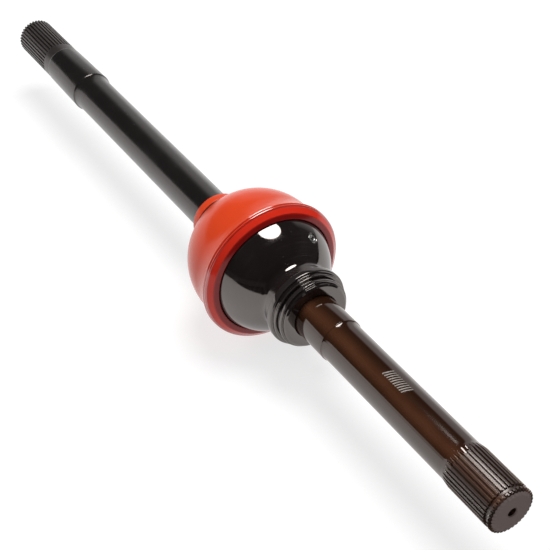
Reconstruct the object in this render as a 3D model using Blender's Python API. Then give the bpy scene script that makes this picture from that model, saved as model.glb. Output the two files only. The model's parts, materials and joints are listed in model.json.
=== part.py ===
"""Constant-velocity front axle: inner shaft, six-ball joint with a sliding ball boot, and stub shaft.

Lengths are in metres and angles in degrees. The axle lies along X with its stub shaft towards +X.
Every profile is a list of (x, r) points about the joint's centre: x along the axle, r from its axis.
"""

import math

import bmesh
import bpy
from mathutils import Matrix, Vector

# Overall lengths, from the joint's centre to each end of the axle
INNER_LENGTH = 0.482
STUB_LENGTH = 0.3197

# How far the joint bends: each figure is shared equally by the two halves of the joint
STEER_RANGE = 34.0
TILT_RANGE = 16.0

# Splines
SPLINE_DIAMETER = 0.0381
SPLINE_TEETH = 35
SPLINE_DEPTH = 0.00135
VALLEY_FLOOR_SHARE = 0.30
VALLEY_MOUTH_SHARE = 0.54
INNER_SPLINE_LENGTH = 0.063
STUB_SPLINE_LENGTH = 0.0477
END_CHAMFER = 0.002
END_CHAMFER_RISE = 0.0045
CENTRE_HOLE_DIAMETER = 0.0074
CENTRE_HOLE_DEPTH = 0.009

# Inner shaft
INNER_SHAFT_DIAMETER = 0.0372
SEAL_LAND_END_DIAMETER = 0.0389
SEAL_LAND_ROOT_DIAMETER = 0.0405
SEAL_LAND_LENGTH = 0.064
SEAL_LAND_STEP = 0.013
RELIEF_LENGTH = 0.015

# Stub shaft
STUB_SHAFT_DIAMETER = 0.036
STUB_JOURNAL_LENGTH = 0.0356
STUB_STEP_LENGTH = 0.0085
STUB_RAMP_LENGTH = 0.0075
CLIP_GROOVE_WIDTH = 0.003
CLIP_GROOVE_LIP = 0.0023

# Balls, races and cage
BALL_DIAMETER = 0.0222
BALL_COUNT = 6
TRACK_GAP = 0.0005
TRACK_SIDE_GAP = 0.0023
RACE_WALL = 0.00215
RACE_END_MARGIN = 0.002
RACE_BELOW_PITCH = 0.0033
CAGE_THICKNESS = 0.0063
CAGE_RIM = 0.0056
WINDOW_GAP = 0.0003
WINDOW_END_GAP = 0.0017
BELL_WALL = 0.0055
MOUTH_DEPTH = 0.022
MOUTH_GAP = 0.0008

# Collar of the bell: radii, and lengths along the axis from the sphere outwards
NECK_RADIUS = 0.030
NECK_FILLET = 0.0065
NECK_LENGTH = 0.008218
FLANGE_RADIUS = 0.0349
FLANGE_RISE = 0.0028
FLANGE_LENGTH = 0.0055
SHOULDER_RADIUS = 0.033
SHOULDER_LENGTH = 0.004
UNDERCUT_RADIUS = 0.0298
UNDERCUT_LENGTH = 0.0017
FRONT_RING_RADIUS = 0.031
FRONT_RING_LENGTH = 0.0033
FACE_RADIUS = 0.0292
FACE_LENGTH = 0.0022
FACE_CHAMFER = 0.001
FACE_CHAMFER_RISE = 0.0017

# Stub shaft's seat in the bell
STUB_BACKSET = 0.0035
SEAT_WALL_FLOOR = 0.041
STUB_PLAIN_SEAT = 0.0117
CLIP_POCKET_ROOM = 0.00285

# Spring clips and seals
CLIP_THICKNESS = 0.0016
CLIP_REACH = 0.0024
CLIP_GROOVE_DEPTH = 0.00175
CLIP_OPENING = 0.006
O_RING_SECTION = 0.0015
O_RING_GROOVE_WIDTH = 0.0022
O_RING_BACKSET = 0.0055

# Boot
BOOT_WALL = 0.0045
BOOT_SETBACK = 0.012
BOOT_SKIRT_FLARE = 0.0018
BOOT_LIP_REACH = 0.0155
BOOT_LIP_EDGE = 0.0017
BOOT_LIP_BORE = 0.0032
BOOT_RIM = ((0.0012, 0.0036), (0.0052, 0.0072))
BEAD_SETBACK = 0.0070
BEAD_WIDTH = 0.0016
BEAD_FALL = 0.0013
BEAD_HEIGHT = 0.0042
BOOT_NECK_WALL = 0.0041
BOOT_NECK_LENGTH = 0.0138
BOOT_NECK_FILLET = 0.004
CLAMP_GROOVE_WIDTH = 0.0028
CLAMP_GROOVE_DEPTH = 0.0016
CLAMP_GROOVE_SETBACK = 0.0028
CLAMP_THICKNESS = 0.0008
CLAMP_EAR_HEIGHT = 0.0032
CLAMP_EAR_LENGTH = 0.0048
CLAMP_EAR_ANGLE = 68.0
SEAL_WIDTH = 0.0042
SEAL_HEIGHT = 0.0018
SEAL_REACH = 0.0104
SEAL_GAP = 0.00038

# Grease plug
PLUG_DIAMETER = 0.0080
PLUG_LENGTH = 0.0046
PLUG_SOCKET = 0.0042
PLUG_SOCKET_DEPTH = 0.0026
PLUG_POLAR = 56.8
PLUG_AZIMUTH = 54.0
PLUG_PORT_DIAMETER = 0.0035
PLUG_PORT_REACH = 0.0055
PLUG_RECESS = 0.0006

# Clearances
FIT_GAP = 0.0003
SPHERE_GAP = 0.0005

# Reach of the ball tracks past the balls' rest places, towards the mouth, and at both ends of the race
BELL_TRACK_EXIT = 60.0
RACE_TRACK_SWEEP = 50.0

# Fineness of the facets
SEGMENTS = 32
SHAFT_SEGMENTS = 24
PLUG_SEGMENTS = 20
FINE_RINGS = 6
TRACK_STEP = 10.0
SHARP_ANGLE = 35.0


def pitch_radius():
    """Radius of the ball circle that leaves RACE_WALL between each track and the race's bore."""
    swing = math.sin(HALF_BEND)
    inside = SPLINE_RADIUS + FIT_GAP + RACE_WALL
    a = 1 - swing**2
    b = -2 * (TRACK_RADIUS + swing * RACE_END_MARGIN)
    c = TRACK_RADIUS**2 - RACE_END_MARGIN**2 - inside**2
    return (-b + math.sqrt(b * b - 4 * a * c)) / (2 * a)


# Derived sizes
FULL_BEND = math.acos(math.cos(math.radians(STEER_RANGE)) * math.cos(math.radians(TILT_RANGE)))
HALF_BEND = FULL_BEND / 2
JOINT_X = (INNER_LENGTH - STUB_LENGTH) / 2
SPLINE_RADIUS = SPLINE_DIAMETER / 2
SPLINE_ROOT = SPLINE_RADIUS - SPLINE_DEPTH
BALL_RADIUS = BALL_DIAMETER / 2
TRACK_RADIUS = BALL_RADIUS + TRACK_GAP
PITCH_RADIUS = pitch_radius()
RACE_HALF_WIDTH = PITCH_RADIUS * math.sin(HALF_BEND) + RACE_END_MARGIN
RACE_RADIUS = PITCH_RADIUS - RACE_BELOW_PITCH
CAGE_INNER_RADIUS = RACE_RADIUS + SPHERE_GAP
CAGE_OUTER_RADIUS = CAGE_INNER_RADIUS + CAGE_THICKNESS
CAGE_HALF_WIDTH = BALL_RADIUS + WINDOW_GAP + CAGE_RIM
SEAT_RADIUS = CAGE_OUTER_RADIUS + SPHERE_GAP
BELL_RADIUS = PITCH_RADIUS + TRACK_RADIUS + BELL_WALL
INNER_SHAFT_RADIUS = INNER_SHAFT_DIAMETER / 2
STUB_SHAFT_RADIUS = STUB_SHAFT_DIAMETER / 2
BORE_RADIUS = SPLINE_RADIUS + FIT_GAP
CLIP_SEAT = SPLINE_RADIUS - CLIP_GROOVE_DEPTH
CLIP_OUTER = SPLINE_RADIUS + CLIP_REACH
CLIP_ROOM = CLIP_THICKNESS + 2 * FIT_GAP
SEAT_POCKET_RADIUS = CLIP_OUTER + CLIP_POCKET_ROOM
SEAL_BALL_RADIUS = BELL_RADIUS + SPHERE_GAP
DOME_INNER_RADIUS = SEAL_BALL_RADIUS
DOME_RADIUS = DOME_INNER_RADIUS + BOOT_WALL
BOOT_NECK_RADIUS = INNER_SHAFT_RADIUS + FIT_GAP + BOOT_NECK_WALL

BLACK_STEEL = ((0.020, 0.019, 0.019, 1), 0.18, 1.0)
SATIN_BLACK_STEEL = ((0.035, 0.034, 0.034, 1), 0.34, 1.0)
BRONZED_STEEL = ((0.105, 0.060, 0.040, 1), 0.22, 1.0)
BEARING_STEEL = ((0.62, 0.62, 0.63, 1), 0.12, 1.0)
SPRING_STEEL = ((0.16, 0.16, 0.17, 1), 0.35, 1.0)
PLUG_STEEL = ((0.55, 0.54, 0.52, 1), 0.30, 1.0)
ORANGE_URETHANE = ((0.72, 0.075, 0.018, 1), 0.38, 0.0)
BLACK_RUBBER = ((0.02, 0.02, 0.02, 1), 0.60, 0.0)


def material(name, finish):
    """A Principled BSDF material of one colour, roughness and metallic value."""
    colour, roughness, metallic = finish
    made = bpy.data.materials.new(name)
    made.use_nodes = True
    shader = made.node_tree.nodes["Principled BSDF"]
    shader.inputs["Base Color"].default_value = colour
    shader.inputs["Roughness"].default_value = roughness
    shader.inputs["Metallic"].default_value = metallic
    made.diffuse_color = colour
    return made


def object_of(name, mesh):
    """An object for a finished bmesh, with its faces pointing outwards."""
    bmesh.ops.recalc_face_normals(mesh, faces=mesh.faces)
    data = bpy.data.meshes.new(name)
    mesh.to_mesh(data)
    mesh.free()
    data.shade_smooth()
    data.set_sharp_from_angle(angle=math.radians(SHARP_ANGLE))
    made = bpy.data.objects.new(name, data)
    bpy.context.scene.collection.objects.link(made)
    return made


def turned(name, profile, segments=SEGMENTS, closed=False):
    """A solid of revolution about X. An open profile starts and ends on the axis."""
    mesh = bmesh.new()
    points = [mesh.verts.new((x, r, 0)) for x, r in profile]
    pairs = list(zip(points, points[1:]))
    if closed:
        pairs.append((points[-1], points[0]))
    edges = [mesh.edges.new(pair) for pair in pairs]
    bmesh.ops.spin(
        mesh, geom=points + edges, cent=(0, 0, 0), axis=(1, 0, 0), angle=math.tau, steps=segments
    )
    bmesh.ops.remove_doubles(mesh, verts=mesh.verts, dist=1e-6)
    return object_of(name, mesh)


def arc(centre_x, centre_r, radius, start, end, steps):
    """Points on an arc. Its angles, in radians, are measured from +X towards +r."""
    angles = [start + (end - start) * k / steps for k in range(steps + 1)]
    return [(centre_x + radius * math.cos(a), centre_r + radius * math.sin(a)) for a in angles]


def concave(x_low, r_low, x_high, r_high):
    """Points between two stations on a hollow quarter ellipse, flat at the thinner of its two ends."""
    turns = [math.pi / 2 * k / 3 for k in (1, 2)]
    length, rise = x_high - x_low, r_high - r_low
    if rise > 0:
        return [(x_low + length * math.sin(t), r_low + rise * (1 - math.cos(t))) for t in turns]
    return [(x_low + length * (1 - math.cos(t)), r_low + rise * math.sin(t)) for t in turns]


def helper(made):
    """Marks an object as a cutter."""
    made.hide_render = True
    made.display_type = "WIRE"
    return made


def boolean(target, other, operation="DIFFERENCE"):
    modifier = target.modifiers.new(f"{operation.title()} {other.name}", "BOOLEAN")
    modifier.object = helper(other)
    modifier.operation = operation
    modifier.solver = "EXACT"


def prism(name, outline, x_low, x_high):
    """A straight solid along X whose section is the given list of (angle, radius) points."""
    mesh = bmesh.new()
    loop = [mesh.verts.new((x_low, r * math.cos(a), r * math.sin(a))) for a, r in outline]
    face = mesh.faces.new(loop)
    grown = bmesh.ops.extrude_face_region(mesh, geom=[face])
    moved = [v for v in grown["geom"] if isinstance(v, bmesh.types.BMVert)]
    bmesh.ops.translate(mesh, verts=moved, vec=(x_high - x_low, 0, 0))
    return object_of(name, mesh)


def spline_outline(tip_radius, root_radius, tip_share, root_share):
    """Section of a splined hole: broad lands at root_radius and narrow teeth in to tip_radius."""
    step = math.tau / SPLINE_TEETH
    outline = []
    for tooth in range(SPLINE_TEETH):
        middle = tooth * step
        for share, radius in (
            (-root_share / 2, root_radius),
            (-tip_share / 2, tip_radius),
            (tip_share / 2, tip_radius),
            (root_share / 2, root_radius),
        ):
            outline.append((middle + share * step, radius))
    return outline


def spline_hole(name, x_low, x_high):
    """Cutter for a hole that fits the shafts' splines."""
    side_gaps = 2 * FIT_GAP * SPLINE_TEETH / (math.tau * SPLINE_RADIUS)
    tip_share, root_share = VALLEY_FLOOR_SHARE - side_gaps, VALLEY_MOUTH_SHARE - side_gaps
    outline = spline_outline(SPLINE_ROOT + FIT_GAP, BORE_RADIUS, tip_share, root_share)
    return prism(name, outline, x_low, x_high)


def spline_valleys(name, x_low, x_high, run_out_low, run_out_high):
    """Cutter for the valleys of an outside spline, each rising out of the shaft over its run-out."""
    step = math.tau / SPLINE_TEETH
    reach = SPLINE_RADIUS + SPLINE_DEPTH
    floor_half = VALLEY_FLOOR_SHARE * step / 2
    mouth_half = VALLEY_MOUTH_SHARE * step / 2 * (1 + SPLINE_DEPTH / SPLINE_RADIUS)
    mesh = bmesh.new()
    for tooth in range(SPLINE_TEETH):
        middle = tooth * step
        rings = []
        for x, low in (
            (x_low - run_out_low, SPLINE_RADIUS + FIT_GAP),
            (x_low, SPLINE_ROOT),
            (x_high, SPLINE_ROOT),
            (x_high + run_out_high, SPLINE_RADIUS + FIT_GAP),
        ):
            corners = ((-floor_half, low), (floor_half, low), (mouth_half, reach), (-mouth_half, reach))
            rings.append(
                [
                    mesh.verts.new((x, r * math.cos(middle + a), r * math.sin(middle + a)))
                    for a, r in corners
                ]
            )
        mesh.faces.new(rings[0])
        mesh.faces.new(rings[-1])
        for first, second in zip(rings, rings[1:]):
            for k in range(4):
                mesh.faces.new((first[k], first[k - 1], second[k - 1], second[k]))
    return object_of(name, mesh)


def track(name, azimuth, start, end, rounded_start):
    """Cutter for one ball track: an oval tube bent about the joint's centre.

    start and end are angles in radians from the ball's rest place towards -X.
    """
    sides, cap_rings, step = 12, 3, math.radians(TRACK_STEP)
    grow = 1 / math.cos(math.pi / sides)
    deep, wide = TRACK_RADIUS * grow, (BALL_RADIUS + TRACK_SIDE_GAP) * grow
    steps = max(2, math.ceil((end - start) / step))
    rings = [(start + (end - start) * k / steps, 1.0) for k in range(steps + 1)]
    if rounded_start:
        reach = TRACK_RADIUS / PITCH_RADIUS
        turns = [math.pi / 2 * k / cap_rings for k in range(cap_rings - 1, 0, -1)]
        rings = [(start - reach * math.sin(t), math.cos(t)) for t in turns] + rings
    mesh = bmesh.new()
    loops = []
    for along, size in rings:
        loop = []
        for k in range(sides):
            around = math.tau * (k + 0.5) / sides
            out = PITCH_RADIUS + deep * size * math.cos(around)
            loop.append(
                mesh.verts.new(
                    (-out * math.sin(along), out * math.cos(along), wide * size * math.sin(around))
                )
            )
        loops.append(loop)
    mesh.faces.new(loops[0])
    mesh.faces.new(loops[-1])
    for first, second in zip(loops, loops[1:]):
        for k in range(sides):
            mesh.faces.new((first[k - 1], first[k], second[k], second[k - 1]))
    bmesh.ops.rotate(
        mesh, verts=mesh.verts, cent=(0, 0, 0), matrix=Matrix.Rotation(azimuth, 3, "X")
    )
    return object_of(name, mesh)


def ball_azimuths():
    """Angles about X from +Y. Two balls lie on the Y axis, about which the cage tilts."""
    return [math.tau * k / BALL_COUNT for k in range(BALL_COUNT)]


def groove(x_low, x_high, seat, outside):
    """Four profile points of a square groove in a shaft."""
    return [(x_low, outside), (x_low, seat), (x_high, seat), (x_high, outside)]


def centre_hole(x_face, into):
    """Profile points of a centre drilling, from the end face to the axis. into is +1 or -1 along X."""
    radius = CENTRE_HOLE_DIAMETER / 2
    bottom = x_face + into * CENTRE_HOLE_DEPTH
    return [(x_face, radius), (bottom, radius), (bottom + into * radius / 2, 0)]


def seat_stations():
    """Stations along the collar and inside it that the bell, the stub shaft and its clip share."""
    centre_r = NECK_RADIUS + NECK_FILLET
    neck_start = math.sqrt((BELL_RADIUS + NECK_FILLET) ** 2 - centre_r**2)
    flange = neck_start + NECK_LENGTH + FLANGE_RISE
    shoulder = flange + FLANGE_LENGTH
    undercut = shoulder + SHOULDER_LENGTH
    front_ring = undercut + UNDERCUT_LENGTH
    disc = front_ring + FRONT_RING_LENGTH
    face = disc + FACE_LENGTH + FACE_CHAMFER
    floor = max(SEAT_WALL_FLOOR, SEAT_RADIUS)
    return {
        "neck": neck_start,
        "flange": flange,
        "shoulder": shoulder,
        "undercut": undercut,
        "front_ring": front_ring,
        "disc": disc,
        "face": face,
        "floor": floor,
        "stub_end": floor - CLIP_ROOM - STUB_BACKSET,
        "spline_end": face - STUB_PLAIN_SEAT,
    }


def bell():
    """Outer race: a ball-shaped bell with its collar, seat, mouth and ball tracks."""
    at = seat_stations()
    centre_r = NECK_RADIUS + NECK_FILLET
    to_fillet = math.atan2(centre_r, at["neck"])
    mouth_angle = math.acos(-MOUTH_DEPTH / BELL_RADIUS)
    flange_foot = at["neck"] + NECK_LENGTH
    outside = arc(0, 0, BELL_RADIUS, mouth_angle, to_fillet, FINE_RINGS + 1)
    outside += arc(at["neck"], centre_r, NECK_FILLET, to_fillet + math.pi, 1.5 * math.pi, 3)[1:]
    flange_foot_r = FLANGE_RADIUS - FACE_CHAMFER
    outside += [(flange_foot, NECK_RADIUS)]
    outside += concave(flange_foot, NECK_RADIUS, at["flange"], flange_foot_r)
    outside += [
        (at["flange"], flange_foot_r),
        (at["flange"] + FACE_CHAMFER, FLANGE_RADIUS),
        (at["shoulder"] - FACE_CHAMFER, FLANGE_RADIUS),
        (at["shoulder"], SHOULDER_RADIUS),
        (at["undercut"], SHOULDER_RADIUS),
        (at["undercut"], UNDERCUT_RADIUS),
        (at["front_ring"], UNDERCUT_RADIUS),
        (at["front_ring"], FRONT_RING_RADIUS),
        (at["disc"], FRONT_RING_RADIUS),
        (at["disc"], FACE_RADIUS),
        (at["face"] - FACE_CHAMFER, FACE_RADIUS),
        (at["face"], FACE_RADIUS - FACE_CHAMFER_RISE),
    ]
    slope = math.tan(FULL_BEND)
    flare_base = max(SPLINE_RADIUS, INNER_SHAFT_RADIUS) / math.cos(FULL_BEND) + MOUTH_GAP
    a, b, c = 1 + slope**2, 2 * slope * flare_base, flare_base**2 - SEAT_RADIUS**2
    flare_start = (-b + math.sqrt(b * b - 4 * a * c)) / (2 * a)
    seat_end = math.acos(-flare_start / SEAT_RADIUS)
    pocket_angle = math.asin(SEAT_POCKET_RADIUS / SEAT_RADIUS)
    inside = [
        (at["face"], BORE_RADIUS),
        (at["spline_end"], BORE_RADIUS),
        (at["spline_end"], SPLINE_ROOT - FIT_GAP),
        (at["floor"], SPLINE_ROOT - FIT_GAP),
        (at["floor"], SEAT_POCKET_RADIUS),
    ]
    inside += arc(0, 0, SEAT_RADIUS, pocket_angle, seat_end, FINE_RINGS + 1)
    inside += [(-MOUTH_DEPTH, flare_base + slope * MOUTH_DEPTH)]
    made = turned("outer_bell", outside + inside, closed=True)
    margin = FIT_GAP
    boolean(made, spline_hole("bell_spline_cutter", at["floor"] - margin, at["spline_end"] + margin))
    exit_angle = math.radians(BELL_TRACK_EXIT)
    for k, azimuth in enumerate(ball_azimuths()):
        boolean(
            made,
            track(f"bell_track_cutter_{k + 1}", azimuth, -HALF_BEND, exit_angle, True),
        )
    boolean(made, plug_hole())
    return made


def plug_frame():
    """Rotation that lays +X along the grease plug's axis."""
    polar, azimuth = math.radians(PLUG_POLAR), math.radians(PLUG_AZIMUTH)
    radial = Vector((0, math.cos(azimuth), math.sin(azimuth)))
    direction = math.cos(polar) * Vector((1, 0, 0)) + math.sin(polar) * radial
    return direction.to_track_quat("X", "Z")


def plug_hole():
    """Cutter for the plug's seat and the port behind it."""
    wide, narrow = PLUG_DIAMETER / 2 + FIT_GAP, PLUG_PORT_DIAMETER / 2
    shelf = BELL_RADIUS - PLUG_RECESS - PLUG_LENGTH - FIT_GAP
    profile = [
        (SEAT_RADIUS - PLUG_PORT_REACH, 0),
        (SEAT_RADIUS - PLUG_PORT_REACH, narrow),
        (shelf, narrow),
        (shelf, wide),
        (BELL_RADIUS + PLUG_LENGTH, wide),
        (BELL_RADIUS + PLUG_LENGTH, 0),
    ]
    made = turned("plug_hole_cutter", profile, PLUG_SEGMENTS)
    made.rotation_mode = "QUATERNION"
    made.rotation_quaternion = plug_frame()
    return made


def grease_plug():
    """Threaded plug with a hexagon socket, just below the bell's surface."""
    outer = BELL_RADIUS - PLUG_RECESS
    radius, bevel = PLUG_DIAMETER / 2, PLUG_RECESS
    profile = [
        (outer - PLUG_LENGTH, 0),
        (outer - PLUG_LENGTH, radius - bevel),
        (outer - PLUG_LENGTH + bevel, radius),
        (outer - bevel, radius),
        (outer, radius - bevel),
        (outer, 0),
    ]
    made = turned("grease_plug", profile, PLUG_SEGMENTS)
    outline = [(math.tau * k / 6, PLUG_SOCKET / 2) for k in range(6)]
    socket = prism("plug_socket_cutter", outline, outer - PLUG_SOCKET_DEPTH, outer + PLUG_RECESS)
    boolean(made, socket)
    for piece in (made, socket):
        piece.rotation_mode = "QUATERNION"
        piece.rotation_quaternion = plug_frame()
    return made


def stub_shaft():
    """Shaft from the bell to the wheel hub, splined at both ends."""
    at = seat_stations()
    end = STUB_LENGTH
    chamfer_r = SPLINE_RADIUS - END_CHAMFER_RISE
    clip_end = at["floor"]
    o_ring = at["face"] - O_RING_BACKSET
    journal_end = at["face"] + STUB_JOURNAL_LENGTH
    step_end = journal_end + STUB_STEP_LENGTH
    spline_start = end - STUB_SPLINE_LENGTH
    groove_end = end - END_CHAMFER - CLIP_GROOVE_LIP
    profile = centre_hole(at["stub_end"], 1)[::-1]
    profile += [
        (at["stub_end"], SPLINE_RADIUS - END_CHAMFER),
        (at["stub_end"] + END_CHAMFER / 2, SPLINE_RADIUS),
    ]
    profile += groove(clip_end - CLIP_ROOM, clip_end, CLIP_SEAT, SPLINE_RADIUS)
    profile += groove(
        o_ring - O_RING_GROOVE_WIDTH / 2,
        o_ring + O_RING_GROOVE_WIDTH / 2,
        BORE_RADIUS - O_RING_SECTION - 2 * FIT_GAP,
        SPLINE_RADIUS,
    )
    profile += [(journal_end, SPLINE_RADIUS)]
    profile += concave(journal_end, SPLINE_RADIUS, step_end, STUB_SHAFT_RADIUS)
    profile += [
        (step_end, STUB_SHAFT_RADIUS),
        (spline_start - STUB_RAMP_LENGTH, STUB_SHAFT_RADIUS),
        (spline_start, SPLINE_RADIUS),
    ]
    profile += groove(groove_end - CLIP_GROOVE_WIDTH, groove_end, CLIP_SEAT, SPLINE_RADIUS)
    profile += [(end - END_CHAMFER, SPLINE_RADIUS), (end, chamfer_r)]
    profile += centre_hole(end, -1)
    made = turned("stub_shaft", profile, SHAFT_SEGMENTS)
    seat_run_out = 2 * SPLINE_DEPTH
    boolean(
        made,
        spline_valleys(
            "stub_seat_valley_cutter",
            at["stub_end"] - END_CHAMFER,
            at["spline_end"] + FIT_GAP,
            FIT_GAP,
            seat_run_out,
        ),
    )
    boolean(
        made,
        spline_valleys(
            "stub_valley_cutter", spline_start, end + END_CHAMFER, STUB_RAMP_LENGTH, FIT_GAP
        ),
    )
    return made


def inner_shaft():
    """Shaft from the differential to the inner race, splined at both ends."""
    end = -INNER_LENGTH
    chamfer_r = SPLINE_RADIUS - END_CHAMFER_RISE
    relief = end + INNER_SPLINE_LENGTH
    land = relief + RELIEF_LENGTH
    land_end = land + SEAL_LAND_LENGTH
    step_end = land_end + SEAL_LAND_STEP
    land_low, land_high = SEAL_LAND_END_DIAMETER / 2, SEAL_LAND_ROOT_DIAMETER / 2
    clip_low = RACE_HALF_WIDTH
    race_spline = -(clip_low + CLIP_ROOM + SPLINE_DEPTH)
    tip = clip_low + CLIP_ROOM + 2 * SPLINE_DEPTH + END_CHAMFER / 2
    profile = centre_hole(end, 1)[::-1]
    profile += [
        (end, chamfer_r),
        (end + END_CHAMFER, SPLINE_RADIUS),
        (relief, SPLINE_RADIUS),
        (land - SPLINE_DEPTH, SPLINE_RADIUS),
        (land, land_low),
        (land_end, land_high),
    ]
    profile += concave(land_end, land_high, step_end, INNER_SHAFT_RADIUS)
    profile += [
        (step_end, INNER_SHAFT_RADIUS),
        (race_spline - 3 * SPLINE_DEPTH, INNER_SHAFT_RADIUS),
        (race_spline - 2 * SPLINE_DEPTH, SPLINE_RADIUS),
    ]
    profile += groove(-clip_low - CLIP_ROOM, -clip_low, CLIP_SEAT, SPLINE_RADIUS)
    profile += groove(clip_low, clip_low + CLIP_ROOM, CLIP_SEAT, SPLINE_RADIUS)
    profile += [(tip - END_CHAMFER / 2, SPLINE_RADIUS), (tip, SPLINE_RADIUS - END_CHAMFER / 2)]
    profile += centre_hole(tip, -1)
    made = turned("inner_shaft", profile, SHAFT_SEGMENTS)
    boolean(
        made,
        spline_valleys("inner_valley_cutter", end - END_CHAMFER, relief, FIT_GAP, 2 * SPLINE_DEPTH),
    )
    boolean(
        made,
        spline_valleys(
            "race_valley_cutter", race_spline, tip + END_CHAMFER, 2 * SPLINE_DEPTH, FIT_GAP
        ),
    )
    return made


def inner_race():
    """Star-shaped race on the inner shaft, with a splined bore and six ball tracks."""
    edge = math.acos(RACE_HALF_WIDTH / RACE_RADIUS)
    profile = [(RACE_HALF_WIDTH - FIT_GAP, 0)]
    profile += arc(0, 0, RACE_RADIUS, edge, math.pi - edge, FINE_RINGS)
    profile[1] = (RACE_HALF_WIDTH - FIT_GAP, profile[1][1])
    profile[-1] = (FIT_GAP - RACE_HALF_WIDTH, profile[-1][1])
    profile += [(FIT_GAP - RACE_HALF_WIDTH, 0)]
    made = turned("inner_race", profile, SHAFT_SEGMENTS)
    through = RACE_HALF_WIDTH + CLIP_ROOM
    sweep = math.radians(RACE_TRACK_SWEEP)
    boolean(made, spline_hole("race_spline_cutter", -through, through))
    for k, azimuth in enumerate(ball_azimuths()):
        boolean(made, track(f"race_track_cutter_{k + 1}", azimuth, -sweep, sweep, False))
    return made


def cage():
    """Ball cage: a ring between two spheres, with a window for each ball."""
    outer_edge = math.acos(CAGE_HALF_WIDTH / CAGE_OUTER_RADIUS)
    inner_edge = math.acos(CAGE_HALF_WIDTH / CAGE_INNER_RADIUS)
    profile = arc(0, 0, CAGE_OUTER_RADIUS, outer_edge, math.pi - outer_edge, FINE_RINGS - 1)
    profile += arc(0, 0, CAGE_INNER_RADIUS, math.pi - inner_edge, inner_edge, FINE_RINGS - 1)
    made = turned("cage", profile, closed=True)
    half_length = BALL_RADIUS + WINDOW_END_GAP
    half_height = BALL_RADIUS + WINDOW_GAP
    for k, azimuth in enumerate(ball_azimuths()):
        mesh = bmesh.new()
        bmesh.ops.create_cube(mesh, size=2)
        size = (half_height, BALL_RADIUS, half_length)
        bmesh.ops.scale(mesh, verts=mesh.verts, vec=size)
        bmesh.ops.translate(mesh, verts=mesh.verts, vec=(0, PITCH_RADIUS, 0))
        upright = [e for e in mesh.edges if abs(e.verts[0].co.y - e.verts[1].co.y) > BALL_RADIUS]
        bmesh.ops.bevel(
            mesh, geom=upright, offset=BALL_RADIUS / 2, segments=2, profile=0.5, affect="EDGES"
        )
        bmesh.ops.rotate(
            mesh, verts=mesh.verts, cent=(0, 0, 0), matrix=Matrix.Rotation(azimuth, 3, "X")
        )
        boolean(made, object_of(f"window_cutter_{k + 1}", mesh))
    return made


def balls():
    """The six balls. ball_1 and ball_4 lie on the Y axis."""
    mesh = bmesh.new()
    bmesh.ops.create_uvsphere(mesh, u_segments=14, v_segments=9, radius=BALL_RADIUS)
    first = object_of("ball_1", mesh)
    made = [first]
    for k in range(1, BALL_COUNT):
        ball = bpy.data.objects.new(f"ball_{k + 1}", first.data)
        bpy.context.scene.collection.objects.link(ball)
        made.append(ball)
    for ball, azimuth in zip(made, ball_azimuths()):
        ball.location = (0, PITCH_RADIUS * math.cos(azimuth), PITCH_RADIUS * math.sin(azimuth))
    return made


def spring_clip(name, x_low):
    """Flat spring clip for a shaft groove, open on its -Z side."""
    inner = CLIP_SEAT + FIT_GAP
    profile = [
        (x_low, CLIP_OUTER),
        (x_low + CLIP_THICKNESS, CLIP_OUTER),
        (x_low + CLIP_THICKNESS, inner),
        (x_low, inner),
    ]
    made = turned(name, profile, SHAFT_SEGMENTS, closed=True)
    mesh = bmesh.new()
    bmesh.ops.create_cube(mesh, size=1)
    bmesh.ops.scale(mesh, verts=mesh.verts, vec=(3 * CLIP_THICKNESS, CLIP_OPENING, CLIP_OUTER))
    bmesh.ops.translate(mesh, verts=mesh.verts, vec=(x_low + CLIP_THICKNESS / 2, 0, -CLIP_OUTER))
    boolean(made, object_of(f"{name}_cutter", mesh))
    return made


def o_ring():
    """Rubber ring that keeps the grease behind the stub shaft's spline."""
    at = seat_stations()["face"] - O_RING_BACKSET
    section = O_RING_SECTION / 2
    middle = BORE_RADIUS - FIT_GAP - section
    profile = arc(at, middle, section, 0, math.tau, 6)[:-1]
    return turned("stub_o_ring", profile, SHAFT_SEGMENTS, closed=True)


def boot_stations():
    """Stations that the boot and its clamp share, as distances from the joint towards the inner end."""
    fillet_r = BOOT_NECK_RADIUS + BOOT_NECK_FILLET
    neck = BOOT_SETBACK + math.sqrt((DOME_RADIUS + BOOT_NECK_FILLET) ** 2 - fillet_r**2)
    clamp = neck + CLAMP_GROOVE_SETBACK
    return {"neck": neck, "clamp": clamp, "end": neck + BOOT_NECK_LENGTH}


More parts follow.
